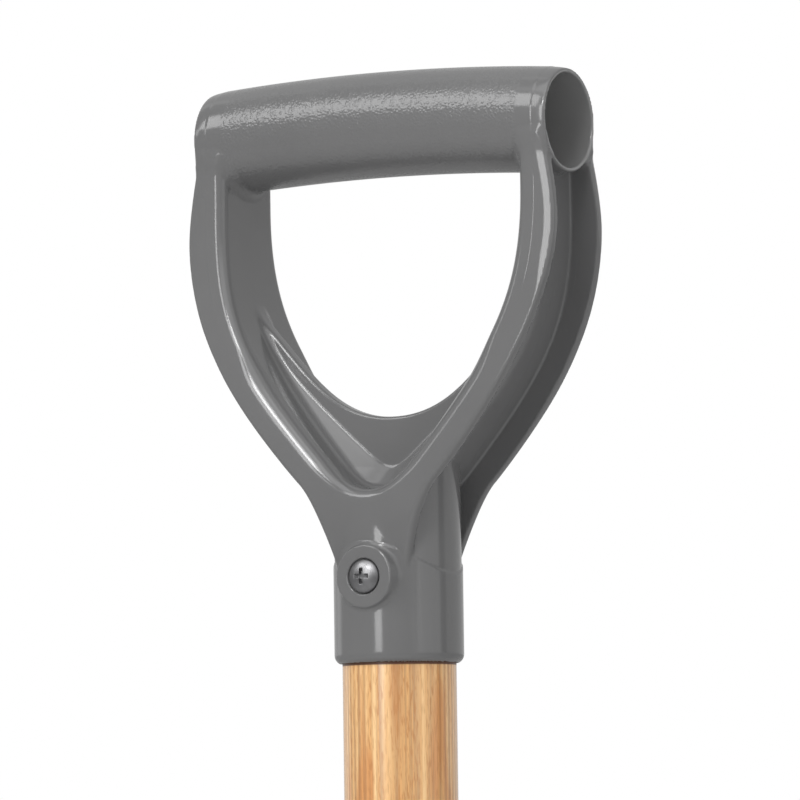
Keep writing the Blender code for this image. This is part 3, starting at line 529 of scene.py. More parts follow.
def slopes(field, points, reach):
    """The field's outward direction at each point, for the shading."""
    slope = slope_of(field, points, reach)[1]
    return slope / np.linalg.norm(slope, axis=1)[:, None]


def skin(field, low, high, cell):
    """Points and four-sided faces of the surface where the field is zero.

    Each grid cell that the surface crosses gets one point, the mean of the crossings on its
    edges, which is then moved along the field's slope on to the surface.
    """
    low, high = np.array(low, float), np.array(high, float)
    counts = np.ceil((high - low) / cell).astype(int) + 1
    lines = [low[axis] + cell * np.arange(counts[axis]) for axis in range(3)]
    values = field(lines[0][:, None, None], lines[1][None, :, None], lines[2][None, None, :])
    inside = values < 0
    corners = [(i, j, k) for i in (0, 1) for j in (0, 1) for k in (0, 1)]
    filled = sum(inside[i:i + counts[0] - 1, j:j + counts[1] - 1, k:k + counts[2] - 1].astype(np.int8)
                 for i, j, k in corners)
    mixed = (filled > 0) & (filled < 8)
    place = np.argwhere(mixed)
    number = np.full(mixed.shape, -1)
    number[mixed] = np.arange(len(place))
    total = np.zeros((len(place), 3))
    hits = np.zeros(len(place))
    for first in corners:
        for axis in range(3):
            if first[axis]:
                continue
            start = place + np.array(first)
            end = start.copy()
            end[:, axis] += 1
            before, after = values[tuple(start.T)], values[tuple(end.T)]
            crossed = (before < 0) != (after < 0)
            share = np.where(crossed, before / np.where(crossed, before - after, 1), 0)
            point = low + cell * start
            point[:, axis] += cell * share
            total += point * crossed[:, None]
            hits += crossed
    points = total / hits[:, None]
    faces = []
    for axis in range(3):
        one, two = (axis + 1) % 3, (axis + 2) % 3
        near = [slice(None)] * 3
        far = [slice(None)] * 3
        near[axis], far[axis] = slice(0, -1), slice(1, None)
        crossed = inside[tuple(near)] != inside[tuple(far)]
        edges = np.argwhere(crossed)
        edges = edges[(edges[:, one] > 0) & (edges[:, two] > 0)]
        edges = edges[(edges[:, one] < counts[one] - 1) & (edges[:, two] < counts[two] - 1)]
        ring = []
        for back_one, back_two in ((1, 1), (0, 1), (0, 0), (1, 0)):
            cellwise = edges.copy()
            cellwise[:, one] -= back_one
            cellwise[:, two] -= back_two
            ring.append(number[tuple(cellwise.T)])
        quads = np.stack(ring, axis=1)
        outward = inside[tuple(edges.T)]
        quads[~outward] = quads[~outward][:, ::-1]
        faces.append(quads)
    for _ in range(3):
        value, slope = slope_of(field, points, cell / 4)
        points = points - value[:, None] * slope / np.maximum((slope ** 2).sum(1), 0.25)[:, None]
    return points, np.vstack(faces)


def add_piece(name, points, faces, finish, normals=None):
    """A smooth object from points and four-sided faces, riding on the shovel."""
    used, faces = np.unique(faces, return_inverse=True)
    faces = faces.reshape(-1, 4)
    mesh = bpy.data.meshes.new(name)
    mesh.vertices.add(len(used))
    mesh.vertices.foreach_set("co", np.asarray(points, np.float32)[used].ravel())
    mesh.loops.add(faces.size)
    mesh.loops.foreach_set("vertex_index", faces.astype(np.int32).ravel())
    mesh.polygons.add(len(faces))
    mesh.polygons.foreach_set("loop_start", np.arange(len(faces), dtype=np.int32) * 4)
    mesh.update(calc_edges=True)
    mesh.validate()
    mesh.shade_smooth()
    if normals is not None:
        mesh.normals_split_custom_set_from_vertices(normals[used])
    mesh.materials.append(finish)
    made = bpy.data.objects.new(name, mesh)
    scene.collection.objects.link(made)
    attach(made, "root")
    return made


PLASTIC_TONES = (0.144, 0.154)
# Painted light: the inside of the crossbar's bore gets a lighter grey than the plastic, standing in for
# light in the hollow
BORE_PAINTED_LIGHT = 0.27
BORE_SKIN = (0.0004, 0.0010)
GRAIN_HALF = (0.0518, 0.0530)
GRAIN_FOOT = (-0.0050, -0.0035)
GRAIN_SCALE = 1050.0
GRAIN_BEND = 0.0009
FLANGE_FRONT = (0.0130, 0.0134)
STEP_START = (0.106, 0.118)
STEP_END = (-0.0045, -0.0030)
STEP_RISE = 0.00016
STEP_CURVE = (23.3, 2.5)


def moulded_plastic():
    """Grey satin plastic: faint flow marks, a pebble grain on the crossbar, and a fine step
    along the arms' flanges, which bends with the opening by a power of the depth below its top.
    """
    made, flow, place = start_finish("moulded_plastic")
    x, y, z = (flow.node("ShaderNodeSeparateXYZ", None, {0: place}, outlet) for outlet in range(3))
    above = z - BAR_RADIUS + x * x * (BAR_ARCH / BAR_HALF ** 2)
    skin_start, skin_end = ((BAR_BORE + depth) ** 2 for depth in BORE_SKIN)
    outside = (above * above + y * y).step(skin_start, skin_end)
    on_bar = (1 - abs(x).step(*GRAIN_HALF)) * z.step(*GRAIN_FOOT) * outside
    drift = flow.node("ShaderNodeTexNoise", None, {"Vector": place, "Scale": 22.0, "Detail": 3.0})
    cool = [(tone, tone, tone + 0.001, 1) for tone in PLASTIC_TONES]
    # Inside the bore the colour is the lighter painted-light grey; outside it is the plastic's own grey
    colour = outside.between(grey(BORE_PAINTED_LIGHT), drift.step(0.3, 0.7).between(*cool))
    bends = {"Vector": place, "Scale": 420.0, "Detail": 1.0}
    bent = flow.node("ShaderNodeTexNoise", None, bends, "Color")
    pull = flow.node("ShaderNodeVectorMath", {"operation": "SCALE"}, {0: bent, "Scale": GRAIN_BEND})
    shifted = flow.node("ShaderNodeVectorMath", {"operation": "ADD"}, {0: place, 1: pull})
    grains = {"Vector": shifted, "Scale": GRAIN_SCALE}
    cells = flow.node("ShaderNodeTexVoronoi", {"feature": "F1"}, grains)
    pebble = (1 - cells.step(0.1, 0.75)) * on_bar
    fine = flow.node("ShaderNodeTexNoise", None, {"Vector": place, "Scale": 1900.0, "Detail": 2.0})
    waves = flow.node("ShaderNodeTexNoise", None, {"Vector": place, "Scale": 60.0, "Detail": 1.0})
    below = (upright[1] + mouth) - z
    bend = below.sum("MAXIMUM", below, 0.0) ** STEP_CURVE[1] * STEP_CURVE[0]
    crest = abs(x) + bend - (INNER_HALF + CREST_WIDTH)
    on_arm = z.step(mouth + STEP_START[0], mouth + STEP_START[1]) * (1 - z.step(*STEP_END))
    flange_step = crest.step(-STEP_RISE, STEP_RISE) * (abs(y).step(*FLANGE_FRONT) * on_arm)
    relief = pebble * 0.9 + fine * on_bar * 0.5 + waves - flange_step * 0.8
    bump = flow.node("ShaderNodeBump", None, {"Strength": 1.0, "Distance": 0.00006, "Height": relief})
    rough = 0.11 + drift * 0.05 + on_bar * 0.03
    return end_finish(made, flow, {
        "Base Color": colour, "Roughness": rough, "Normal": bump, "IOR": 1.5})


grip_low, grip_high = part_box("grip")
margin = Vector((2, 2, 2)) * GRIP_CELL
points, faces = skin(grip_field, grip_low - margin, grip_high + margin, GRIP_CELL)
normals = slopes(grip_field, points, TABLE_CELL)
plastic = moulded_plastic()
band = np.searchsorted(GRIP_SPLITS, points[faces].mean(axis=1)[:, 2] - mouth)
for number, name in enumerate(("grip_socket", "grip_arms", "grip_crossbar")):
    skin_part = add_piece(name, points, faces[band == number], plastic, normals)
    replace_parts(skin_part, "grip")


# Grip screw
# A pan-head wood screw in dull zinc plate with a cross pressed into its head. It holds the
# shaft in the grip's socket.
HEAD_RADIUS = 0.0053
HEAD_HEIGHT = 0.0026
HEAD_EDGE = 0.00025
HEAD_OVERLAP = 0.0004
SCREW_RADIUS = 0.0021
SCREW_POINT = 0.0050
SCREW_EDGE = 0.0001
RECESS_REACH = 0.0028
RECESS_HALF = 0.0006
RECESS_DEPTH = 0.0014
RECESS_FLOOR = 0.55
RECESS_EDGE = 0.00012
SCREW_CELL = 0.00016
ZINC_COLOUR = (0.23, 0.23, 0.235)
ZINC_ROUGHNESS = 0.38
ZINC_MARKS = (900, 900, 900)
DULL_SHARE = 0.84
screw_low, screw_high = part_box("grip_screw")
screw_height = (screw_low.z + screw_high.z) / 2


def screw_field(x, y, z):
    """Distance from the screw's surface: a domed head and a pointed body, less the cross.

    The cross is two slots whose ends lean in towards the bottom.
    """
    up = z - screw_height
    along = y - screw_low.y
    around = np.hypot(x, up)
    from_rim = (along - HEAD_HEIGHT) / HEAD_HEIGHT
    dome = HEAD_HEIGHT * (np.hypot(around / HEAD_RADIUS, from_rim) - 1)
    head = rounded_cut(dome, along - HEAD_HEIGHT, HEAD_EDGE)
    width = SCREW_RADIUS * np.clip((screw_high.y - y) / SCREW_POINT, 0, 1)
    body = rounded_cut(around - width, y - screw_high.y, SCREW_EDGE)
    body = np.minimum(head, np.maximum(body, HEAD_HEIGHT - HEAD_OVERLAP - along))
    narrowing = RECESS_FLOOR + (1 - RECESS_FLOOR) * (RECESS_DEPTH - along) / RECESS_DEPTH
    slots = [np.maximum(np.abs(reach) - RECESS_REACH * narrowing, np.abs(aside) - RECESS_HALF)
             for reach, aside in ((x, up), (up, x))]
    cross = np.maximum(np.minimum(*slots), along - RECESS_DEPTH)
    return rounded_cut(body, -cross, RECESS_EDGE)


def stretched(flow, place, stretch, shift=(0, 0, 0)):
    """The place, stretched along its axes to draw a texture out."""
    return flow.node("ShaderNodeMapping", None, {"Vector": place, "Location": shift, "Scale": stretch})


def metal(name, colour, rough, streaks):
    """Bare or plated metal: cloudy roughness, and fine marks drawn out along one axis."""
    made, flow, place = start_finish(name)
    clouds = flow.node("ShaderNodeTexNoise", None, {"Vector": place, "Scale": 35.0, "Detail": 4.0})
    drawn = stretched(flow, place, streaks)
    marks = flow.node("ShaderNodeTexNoise", None, {"Vector": drawn, "Scale": 1.0, "Detail": 4.0})
    darker = tuple(channel * DULL_SHARE for channel in colour) + (1,)
    tone = (clouds * 0.6 + marks * 0.4).step(0.36, 0.62).between(darker, colour + (1,))
    bump = flow.node("ShaderNodeBump", None, {"Strength": 0.35, "Distance": 0.00005, "Height": marks})
    roughness = rough + (clouds - 0.5) * 0.18 + (marks - 0.5) * 0.12
    return end_finish(made, flow, {
        "Base Color": tone, "Metallic": 1.0, "Roughness": roughness, "Normal": bump})


zinc = metal("zinc_plate", ZINC_COLOUR, ZINC_ROUGHNESS, ZINC_MARKS)
margin = Vector((2, 2, 2)) * SCREW_CELL
points, faces = skin(screw_field, screw_low - margin, screw_high + margin, SCREW_CELL)
normals = slopes(screw_field, points, SCREW_CELL / 4)
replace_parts(add_piece("grip_screw_turned", points, faces, zinc, normals), "grip_screw")


# Shaft
# Turned ash under a clear varnish, made as rings round its axis. Its upper end is held by the
# screw in the grip's socket, and its lower end is bevelled to lie on the shank's plate.
SHAFT_RADIUS = 0.0175
SHAFT_CHAMFER = 0.0020
SHAFT_SIDES = 160
SHAFT_RINGS = 120
TOE_RINGS = 24
SEAT_GAP = 0.0003
TOE_GAP = 0.0007
TOE_EDGE = 0.0005
TOE_LIFT = 0.0006
LIFT = math.radians(28)
REAR_LEAN = math.radians(58)
SHANK_BORE = SHAFT_RADIUS + SEAT_GAP
SHANK_BEND = 0.060
TUBE_LENGTH = 0.125
RING_SPACING = 0.0016
RING_FACING = (0.58, -0.81, 0.0)
WOOD_PALE = ((0.80, 0.45, 0.175, 1), (0.93, 0.61, 0.290, 1))
WOOD_WARM = (0.66, 0.28, 0.085, 1)
WOOD_RING = (0.34, 0.145, 0.05, 1)
WOOD_PORE = (0.50, 0.21, 0.060, 1)
# Painted shade: a dark band on the wood just under the socket's mouth, where the socket shades the
# crease
MOUTH_SHADE_BAND = (0.0006, 0.0002)
MOUTH_SHADE_COLOUR = (0.07, 0.022, 0.012, 1)
shaft_low, shaft_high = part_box("shaft")
bend_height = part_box("shank")[1].z - TUBE_LENGTH


def wrapped(rows):
    """Points and faces of rows that each close on themselves, turned to face outward."""
    count = rows.shape[1]
    start = np.arange(rows.shape[0] - 1)[:, None] * count
    here = np.arange(count)[None, :]
    after = (here + 1) % count
    faces = np.stack([start + here, start + after, start + count + after, start + count + here], axis=2)
    points, faces = rows.reshape(-1, 3), faces.reshape(-1, 4)
    a, b, c, d = (points[faces[:, corner]] for corner in range(4))
    volume = (a * (np.cross(b, c) + np.cross(c, d))).sum()
    return points, faces if volume > 0 else faces[:, ::-1]


def toe_height(y):
    """Height of the bevelled toe at a depth y: along the shank's bend, an arc, then its slope."""
    radius = SHANK_BEND - TOE_GAP
    turned = (SHANK_BEND - SHANK_BORE - y) / radius
    turn = np.arccos(np.clip(turned, math.cos(REAR_LEAN - LIFT), 1))
    past = np.maximum(y - SHANK_BEND + SHANK_BORE + radius * np.cos(turn), 0)
    slope = bend_height - radius * np.sin(turn) - past / math.tan(REAR_LEAN - LIFT)
    return np.maximum(slope, shaft_low.z)


def shaft_rows():
    """Rings from the top end's middle, down the side and over the toe to its middle."""
    angle = np.linspace(0, 2 * math.pi, SHAFT_SIDES, endpoint=False)
    x, y = np.cos(angle), np.sin(angle)
    narrow = SHAFT_RADIUS - SHAFT_CHAMFER
    rows = [(radius * x, radius * y, np.full_like(x, shaft_high.z))
            for radius in (0, narrow / 2, narrow)]
    shoulder = shaft_high.z - SHAFT_CHAMFER
    foot = toe_height(SHAFT_RADIUS * y) + TOE_LIFT
    for share in np.linspace(0, 1, SHAFT_RINGS):
        rows.append((SHAFT_RADIUS * x, SHAFT_RADIUS * y, shoulder + (foot - shoulder) * share))
    for radius in np.linspace(SHAFT_RADIUS - TOE_EDGE, 0, TOE_RINGS):
        rows.append((radius * x, radius * y, toe_height(radius * y)))
    return np.array(rows).transpose(0, 2, 1)


def varnished_ash():
    """Growth rings that lie flat towards the front, short pores, and patches of warmer wood.

    A painted shade runs round it close under the socket's mouth: a dark line without shine.
    """
    made, flow, place = start_finish("varnished_ash")
    slow = stretched(flow, place, (60, 60, 3.2))
    wander = flow.node("ShaderNodeTexNoise", None, {"Vector": slow, "Scale": 1.0, "Detail": 2.0})
    dot = {"operation": "DOT_PRODUCT"}
    facing = flow.node("ShaderNodeVectorMath", dot, {0: place, 1: RING_FACING}, 1)
    depth = facing * (1 / RING_SPACING) + wander * 1.6
    ring = depth.sum("FRACT", depth)
    early = ring.step(0.0, 0.35) * (1 - ring.step(0.45, 0.95))
    pores = stretched(flow, place, (2300, 2300, 240))
    pore = flow.node("ShaderNodeTexNoise", None, {"Vector": pores, "Scale": 1.0, "Detail": 2.0})
    streaks = stretched(flow, place, (900, 900, 14))
    streak = flow.node("ShaderNodeTexNoise", None, {"Vector": streaks, "Scale": 1.0, "Detail": 6.0})
    patches = stretched(flow, place, (150, 150, 22), (0.3, 0.1, 0.6))
    patch = flow.node("ShaderNodeTexNoise", None, {"Vector": patches, "Scale": 1.0, "Detail": 1.0})
    pale = streak.step(0.35, 0.65).between(*WOOD_PALE)
    warm = (patch.step(0.50, 0.68) * 0.8).between(pale, WOOD_WARM)
    lined = (early * 0.68 * streak.step(0.3, 0.6)).between(warm, WOOD_RING)
    wood = (pore.step(0.48, 0.66) * (0.40 + early * 0.35)).between(lined, WOOD_PORE)
    z = flow.node("ShaderNodeSeparateXYZ", None, {0: place}, 2)
    # Mask of the painted shade under the mouth, which also takes the varnish's shine away there
    mouth_shade = z.step(mouth - MOUTH_SHADE_BAND[0], mouth - MOUTH_SHADE_BAND[1]) * 0.95
    wood = mouth_shade.between(wood, MOUTH_SHADE_COLOUR)
    grain = {"Strength": 0.25, "Distance": 0.00006, "Height": pore + wander}
    bump = flow.node("ShaderNodeBump", None, grain)
    return end_finish(made, flow, {
        "Base Color": wood, "Roughness": 0.42, "Normal": bump, "Coat Weight": 1 - mouth_shade,
        "Coat Roughness": 0.14})


points, faces = wrapped(shaft_rows())
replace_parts(add_piece("shaft_turned", points, faces, varnished_ash()), "shaft")


# Shank
# One steel sheet under dark paint: its upper end is rolled round the shaft, and below a bend it
# lies as a plate on the scoop's rear wall and as a strap under its floor.
SHANK_SHEET = 0.0018
SHANK_SEAM = 0.0020
SHANK_ROLL = 0.034
SHANK_BELOW_RIM = 0.009
STRAP_REACH = 0.052
STRAP_HALF = 0.034
STRAP_NARROWING = 0.012
STRAP_NARROW_SHARE = 0.4
SHANK_STEP = 0.0015
SHANK_COLUMNS = 72
SPINE_STEP = 0.00025
# The sheet keeps a hair's breadth inside its solid
SHANK_THIN = 0.99
FORWARD_NUDGE = 0.00001
PAINT_TONES = ((0.030, 0.030, 0.033, 1), (0.050, 0.050, 0.054, 1))
BLADE_SHEET = 0.0020
REAR_HEIGHT = 0.092
REAR_FILLET = 0.055
SHANK_OFFSET = BLADE_SHEET + SEAT_GAP + SHANK_SHEET
heel_length = (REAR_FILLET + SHANK_OFFSET) * REAR_LEAN
wall_rise = REAR_HEIGHT - REAR_FILLET * (1 - math.cos(REAR_LEAN))
wall_length = wall_rise / math.sin(REAR_LEAN) - SHANK_BELOW_RIM
bend_start = STRAP_REACH + heel_length + wall_length
bend_end = bend_start + SHANK_BEND * (REAR_LEAN - LIFT)
scoop_forward = np.array((0, -math.sin(LIFT), -math.cos(LIFT)))
scoop_up = np.array((0, -math.cos(LIFT), math.sin(LIFT)))


def heading_at(way):
    """How steeply the sheet climbs at a distance from its toe: two arcs between straight runs."""
    turns = [0, 0, REAR_LEAN, REAR_LEAN, LIFT, LIFT]
    return np.interp(way, [0, STRAP_REACH, STRAP_REACH + heel_length, bend_start, bend_end, 1], turns)


# The sheet's middle line in steps, forward over the scoop's floor and up from it
spine_way = np.arange(0, bend_end + TUBE_LENGTH + 2 * SPINE_STEP, SPINE_STEP)
spine_turn = heading_at(spine_way[:-1] + SPINE_STEP / 2)
spine_forward = STRAP_REACH - np.concatenate([[0], np.cumsum(np.cos(spine_turn))]) * SPINE_STEP
spine_rise = -SHANK_OFFSET + np.concatenate([[0], np.cumsum(np.sin(spine_turn))]) * SPINE_STEP
bend_forward = np.interp(bend_end, spine_way, spine_forward)
bend_rise = np.interp(bend_end, spine_way, spine_rise)
bend_place = np.array((0, -SHANK_BORE - FORWARD_NUDGE, bend_height))
scoop_origin = bend_place - bend_forward * scoop_forward - bend_rise * scoop_up


def scoop_place(x, forward, up):
    """Model points for points of the scoop: across, forward over the floor, up from the floor."""
    x, forward, up = np.broadcast_arrays(x, forward, up)
    across = np.stack([x, np.zeros_like(x), np.zeros_like(x)], axis=-1)
    return scoop_origin + across + forward[..., None] * scoop_forward + up[..., None] * scoop_up


def shank_rows():
    """Cross sections of the sheet from the strap's toe to the tube's end.

    Each one runs along the sheet's inner face, round its edge and back along the outer face,
    all bent to the same curl. At both ends the sections close to the sheet's middle.
    """
    half_sheet = SHANK_THIN * SHANK_SHEET / 2
    share = np.linspace(-1, 1, SHANK_COLUMNS)
    bead = np.radians([-60, -30, 0, 30, 60])
    edge = np.ones_like(bead)
    side = np.concatenate([share, edge, share[::-1], -edge])
    over = np.concatenate([0 * share, np.cos(bead), 0 * share, np.cos(bead)]) * half_sheet
    out = np.concatenate([0 * share - 1, np.sin(bead), 0 * share + 1, np.sin(bead[::-1])]) * half_sheet
    ways = np.arange(half_sheet, bend_end + TUBE_LENGTH - half_sheet, SHANK_STEP)
    turns = np.radians([90, 60, 30])
    low = [(half_sheet * (1 - math.sin(turn)), math.cos(turn)) for turn in turns]
    high = [(bend_end + TUBE_LENGTH - way, thick) for way, thick in reversed(low)]
    rows = []
    for way, thick in low + [(way, 1.0) for way in ways] + high:
        roll = ease(0, bend_end - bend_start + SHANK_ROLL, way - bend_start)
        curl = max(float(roll), 1e-4) / SHANK_BORE
        from_toe = way / bend_start
        girth = STRAP_HALF + (math.pi * SHANK_BORE - SHANK_SEAM / 2 - STRAP_HALF) * ease(0, 1, from_toe)
        girth -= STRAP_NARROWING * max(1 - from_toe / STRAP_NARROW_SHARE, 0) ** 2
        angle = curl * side * (girth - half_sheet + over)
        off = half_sheet + out * thick
        across = (1 / curl + off) * np.sin(angle)
        deep = (1 - np.cos(angle)) / curl - off * np.cos(angle)
        heading = heading_at(way)
        forward = np.interp(way, spine_way, spine_forward) - deep * math.sin(heading)
        rise = np.interp(way, spine_way, spine_rise) - deep * math.cos(heading)
        rows.append(scoop_place(across, forward, rise))
    return np.array(rows)


def painted_steel():
    """Dark paint with a faint orange-peel surface and a few duller patches."""
    made, flow, place = start_finish("painted_steel")
    peel = flow.node("ShaderNodeTexNoise", None, {"Vector": place, "Scale": 480.0, "Detail": 1.0})
    cloud = flow.node("ShaderNodeTexNoise", None, {"Vector": place, "Scale": 26.0, "Detail": 4.0})
    tone = cloud.step(0.35, 0.7).between(*PAINT_TONES)
    bump = flow.node("ShaderNodeBump", None, {"Strength": 0.4, "Distance": 0.00004, "Height": peel})
    rough = 0.30 + cloud * 0.16
    return end_finish(made, flow, {"Base Color": tone, "Roughness": rough, "Normal": bump})


points, faces = wrapped(shank_rows())
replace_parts(add_piece("shank_rolled", points, faces, painted_steel()), "shank")


# Scoop
# One pressed aluminium sheet: a flat floor with three ribs, a wall round three of its sides that
# runs out at the mouth, and a rim rolled outward for stiffness.
FLOOR_LENGTH = 0.36495
FLOOR_REAR_HALF = 0.122
FLOOR_MOUTH_HALF = 0.160
FLOOR_CORNER = 0.060
CORNER_END = 0.13
NOSE_CURVE = 0.012
SIDE_HEIGHT = 0.090
SIDE_LEAN = math.radians(72)
SIDE_FILLET = 0.038
MOUTH_HEIGHT = 0.010
MOUTH_FILLET = 0.012
SIDE_FALL = 0.85
RIM_ROLL = 0.00735
RIM_TURN = math.radians(105)
RIB_SPACING = 0.050
RIB_HALF = 0.0075
RIB_HEIGHT = 0.0035
RIB_SPAN = (0.10, 0.72)
RIB_RUN = 0.10
FLOOR_ROWS = 90
CORNER_COLUMNS = 22
FLOOR_COLUMNS = 85
WALL_STEPS = 14
RISE_STEPS = 6
RIM_STEPS = 10
SHEET_ROUNDING = 0.0005
SHARP_EDGE = math.radians(50)
ALUMINIUM_COLOUR = (0.41, 0.41, 0.42)
ALUMINIUM_ROUGHNESS = 0.56
ALUMINIUM_MARKS = (1400, 60, 60)


def scoop_floor():
    """Across, forward and up over the floor, as one grid from the rear edge to the mouth."""
    straight = FLOOR_REAR_HALF - FLOOR_CORNER
    turn = np.linspace(CORNER_END, math.pi / 2, CORNER_COLUMNS, endpoint=False)
    corner_x = straight + FLOOR_CORNER * np.cos(turn)
    corner_forward = FLOOR_CORNER * (1 - np.sin(turn))
    x = np.concatenate([corner_x, np.linspace(straight, -straight, FLOOR_COLUMNS), -corner_x[::-1]])
    rear = np.concatenate([corner_forward, np.zeros(FLOOR_COLUMNS), corner_forward[::-1]])
    along = np.linspace(0, 1, FLOOR_ROWS + 1)[None, :]
    nose = FLOOR_LENGTH - NOSE_CURVE * np.abs(x / FLOOR_REAR_HALF)[:, None] ** 3
    across = x[:, None] * (1 + (FLOOR_MOUTH_HALF / FLOOR_REAR_HALF - 1) * along)
    forward = rear[:, None] + (nose - rear[:, None]) * along
    nearest = np.clip(np.rint(x / RIB_SPACING), -1, 1) * RIB_SPACING
    crown = ease(0, 1, 2 * (1 - np.abs(x - nearest) / RIB_HALF))[:, None]
    start, end = RIB_SPAN
    up = RIB_HEIGHT * crown * ease(0, RIB_RUN, along - start) * ease(0, RIB_RUN, end - along)
    return across, forward, up


def wall_above(x, share):
    """The wall over one place of the floor's edge: how far out and how high, from foot to rim.

    A fillet, a leaning rise and the rolled rim. The share is 0 round the rear and 1 at the mouth.
    """
    past_straight = (abs(x) - FLOOR_REAR_HALF + FLOOR_CORNER) / FLOOR_CORNER
    turn = 1.0 if share > 0 else float(ease(0, 1, past_straight))
    fall = float(ease(0, 1, share)) ** SIDE_FALL
    lean = REAR_LEAN + (SIDE_LEAN - REAR_LEAN) * turn
    fillet = REAR_FILLET + (SIDE_FILLET - REAR_FILLET) * turn
    fillet += (MOUTH_FILLET - fillet) * fall
    height = REAR_HEIGHT + (SIDE_HEIGHT - REAR_HEIGHT) * turn
    height += (MOUTH_HEIGHT - height) * fall
    angle = lean * np.linspace(0, 1, WALL_STEPS + 1)
    out, up = fillet * np.sin(angle), fillet * (1 - np.cos(angle))
    rise = np.linspace(0, max(height - up[-1], SEAT_GAP), RISE_STEPS + 1)[1:]
    out, up = np.append(out, out[-1] + rise / math.tan(lean)), np.append(up, up[-1] + rise)
    bend = max(RIM_TURN * turn, 1e-3) / RIM_ROLL
    heading = lean - bend * RIM_ROLL * np.linspace(0, 1, RIM_STEPS + 1)[1:]
    return (np.append(out, out[-1] + (math.sin(lean) - np.sin(heading)) / bend),
            np.append(up, up[-1] + (np.cos(heading) - math.cos(lean)) / bend))


def scoop_sheet():
    """Points and faces of the scoop's inner face: the floor's grid and the wall round it."""
    across, forward, up = scoop_floor()
    columns = across.shape[0]
    points = [scoop_place(across, forward, up).reshape(-1, 3)]
    numbers = np.arange(across.size).reshape(across.shape)
    faces = [np.stack([numbers[:-1, :-1], numbers[1:, :-1], numbers[1:, 1:], numbers[:-1, 1:]], axis=2)]
    edge = np.concatenate([numbers[0, :0:-1], numbers[:, 0], numbers[-1, 1:]])
    path = np.stack([across.ravel()[edge], forward.ravel()[edge]], axis=1)
    towards = np.gradient(path, axis=0)
    towards = towards / np.linalg.norm(towards, axis=1)[:, None]
    share = np.linspace(0, 1, FLOOR_ROWS + 1)[1:]
    shares = np.concatenate([share[::-1], np.zeros(columns), share])
    wall = np.zeros((len(edge), WALL_STEPS + RISE_STEPS + RIM_STEPS), int)
    for row, ((x, along), (step_x, step_along), mouthward) in enumerate(zip(path, towards, shares)):
        out, rise = (values[1:] for values in wall_above(x, mouthward))
        wall[row] = sum(len(part) for part in points) + np.arange(len(out))
        points.append(scoop_place(x - out * step_along, along + out * step_x, rise))
    wall = np.hstack([edge[:, None], wall])
    faces.append(np.stack([wall[:-1, :-1], wall[:-1, 1:], wall[1:, 1:], wall[1:, :-1]], axis=2))
    return np.vstack(points), np.vstack([part.reshape(-1, 4) for part in faces])


aluminium = metal("aluminium_sheet", ALUMINIUM_COLOUR, ALUMINIUM_ROUGHNESS, ALUMINIUM_MARKS)
points, faces = scoop_sheet()
scoop = add_piece("scoop_pressed", points, faces, aluminium)
sheet = scoop.modifiers.new("sheet", "SOLIDIFY")
sheet.thickness = BLADE_SHEET
sheet.offset = -1
rounding = scoop.modifiers.new("rounding", "BEVEL")
rounding.width = SHEET_ROUNDING
rounding.segments = 2
rounding.limit_method = "ANGLE"
rounding.angle_limit = SHARP_EDGE
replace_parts(scoop, "blade")


# Rivets
# Turned steel rivets with a domed head inside the scoop and a flat tail set on the shank. One
# more goes across the shank's tube, domed at both ends.
RIVET_BODY = 0.0025
RIVET_HEAD = (0.0056, 0.0022)
RIVET_TAIL = (0.0045, 0.0018)
# Places: aside and up the rear wall, or aside and forward under the floor
RIVET_UPPER = (0.040, 0.048)
RIVET_LOWER = (0.027, 0.014)
RIVET_STRAP = (0.020, 0.034)
CROSS_RIVET_BODY = 0.0030
CROSS_RIVET_HEAD = (0.0062, 0.0026)
CROSS_RIVET_DROP = 0.030
RIVET_SIDES = 48
RIVET_EDGE = 0.0001
TAIL_FLAT = 0.8
ASLANT = (0.3, 0.5, 0.8)


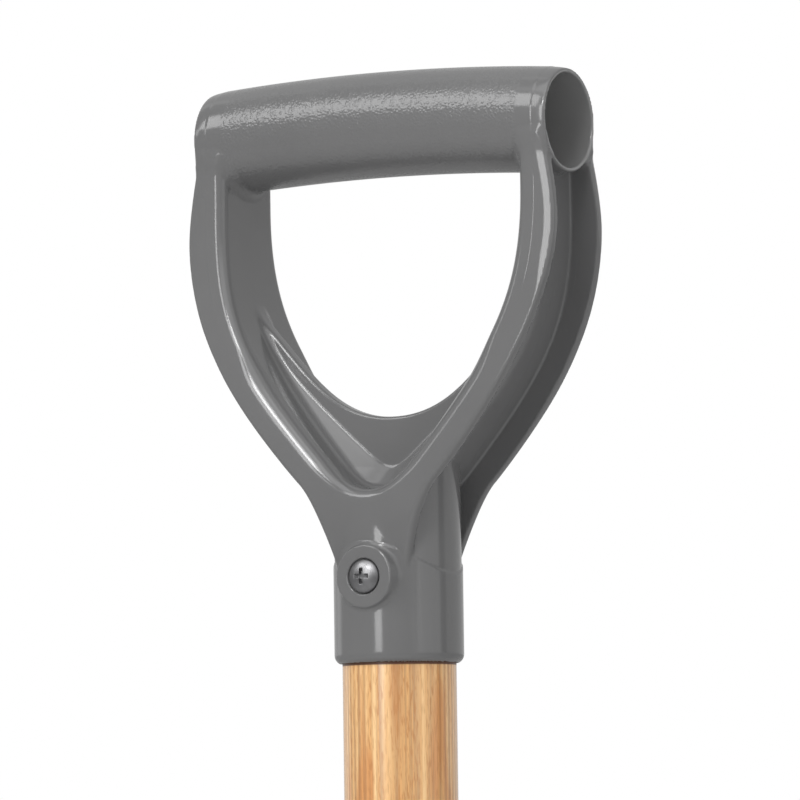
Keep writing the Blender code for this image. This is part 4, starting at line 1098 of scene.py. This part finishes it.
def rivet_rows(body, head, tail, grip_length, place, axis):
    """Rings about an axis through a place: domed head, body between the sheets, formed tail.

    Head and tail are each a radius and a height. The profile lists radii and ways on the axis.
    """
    dome = np.radians(np.linspace(90, 6, 9))
    near, far = -SEAT_GAP, grip_length + SEAT_GAP
    (head_radius, head_height), (tail_radius, tail_height) = head, tail
    profile = [(head_radius * math.cos(turn), near - head_height * math.sin(turn)) for turn in dome]
    profile += [(head_radius, near - RIVET_EDGE), (head_radius - RIVET_EDGE, near), (body, near)]
    profile += [(body, far), (tail_radius - RIVET_EDGE, far), (tail_radius, far + RIVET_EDGE)]
    profile += [(tail_radius * (TAIL_FLAT + (1 - TAIL_FLAT) * math.cos(turn)),
                 far + tail_height * math.sin(turn)) for turn in dome[::-1]]
    profile += [(0, far + tail_height)]
    axis = np.array(axis, float)
    one = np.cross(axis, ASLANT)
    one = one / np.linalg.norm(one)
    other = np.cross(axis, one)
    angle = np.linspace(0, 2 * math.pi, RIVET_SIDES, endpoint=False)
    ring = np.cos(angle)[:, None] * one + np.sin(angle)[:, None] * other
    return np.array([place + radius * ring + distance * axis for radius, distance in profile])


def add_rivet(node, rows):
    """One rivet in the place of its solid."""
    points, faces = wrapped(rows)
    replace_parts(add_piece(node + "_turned", points, faces, zinc), node)


down_wall = -math.sin(REAR_LEAN) * scoop_forward - math.cos(REAR_LEAN) * scoop_up
for side, label in ((-1, "left"), (1, "right")):
    for tier, (across, height) in (("upper", RIVET_UPPER), ("lower", RIVET_LOWER)):
        back = -REAR_FILLET * math.sin(REAR_LEAN) - height * math.cos(REAR_LEAN)
        rise = REAR_FILLET * (1 - math.cos(REAR_LEAN)) + height * math.sin(REAR_LEAN)
        place = scoop_place(side * across, back, rise)
        rows = rivet_rows(RIVET_BODY, RIVET_HEAD, RIVET_TAIL, SHANK_OFFSET, place, down_wall)
        add_rivet(f"rivet_{label}_{tier}", rows)
    across, forward = RIVET_STRAP
    place = scoop_place(side * across, forward, 0.0)
    rows = rivet_rows(RIVET_BODY, RIVET_HEAD, RIVET_TAIL, SHANK_OFFSET, place, -scoop_up)
    add_rivet(f"rivet_{label}_strap", rows)
tube_edge = SHANK_BORE + SHANK_SHEET
place = np.array((tube_edge, 0, bend_height + TUBE_LENGTH - CROSS_RIVET_DROP))
rows = rivet_rows(
    CROSS_RIVET_BODY, CROSS_RIVET_HEAD, CROSS_RIVET_HEAD, 2 * tube_edge, place, (-1, 0, 0))
add_rivet("shaft_rivet", rows)
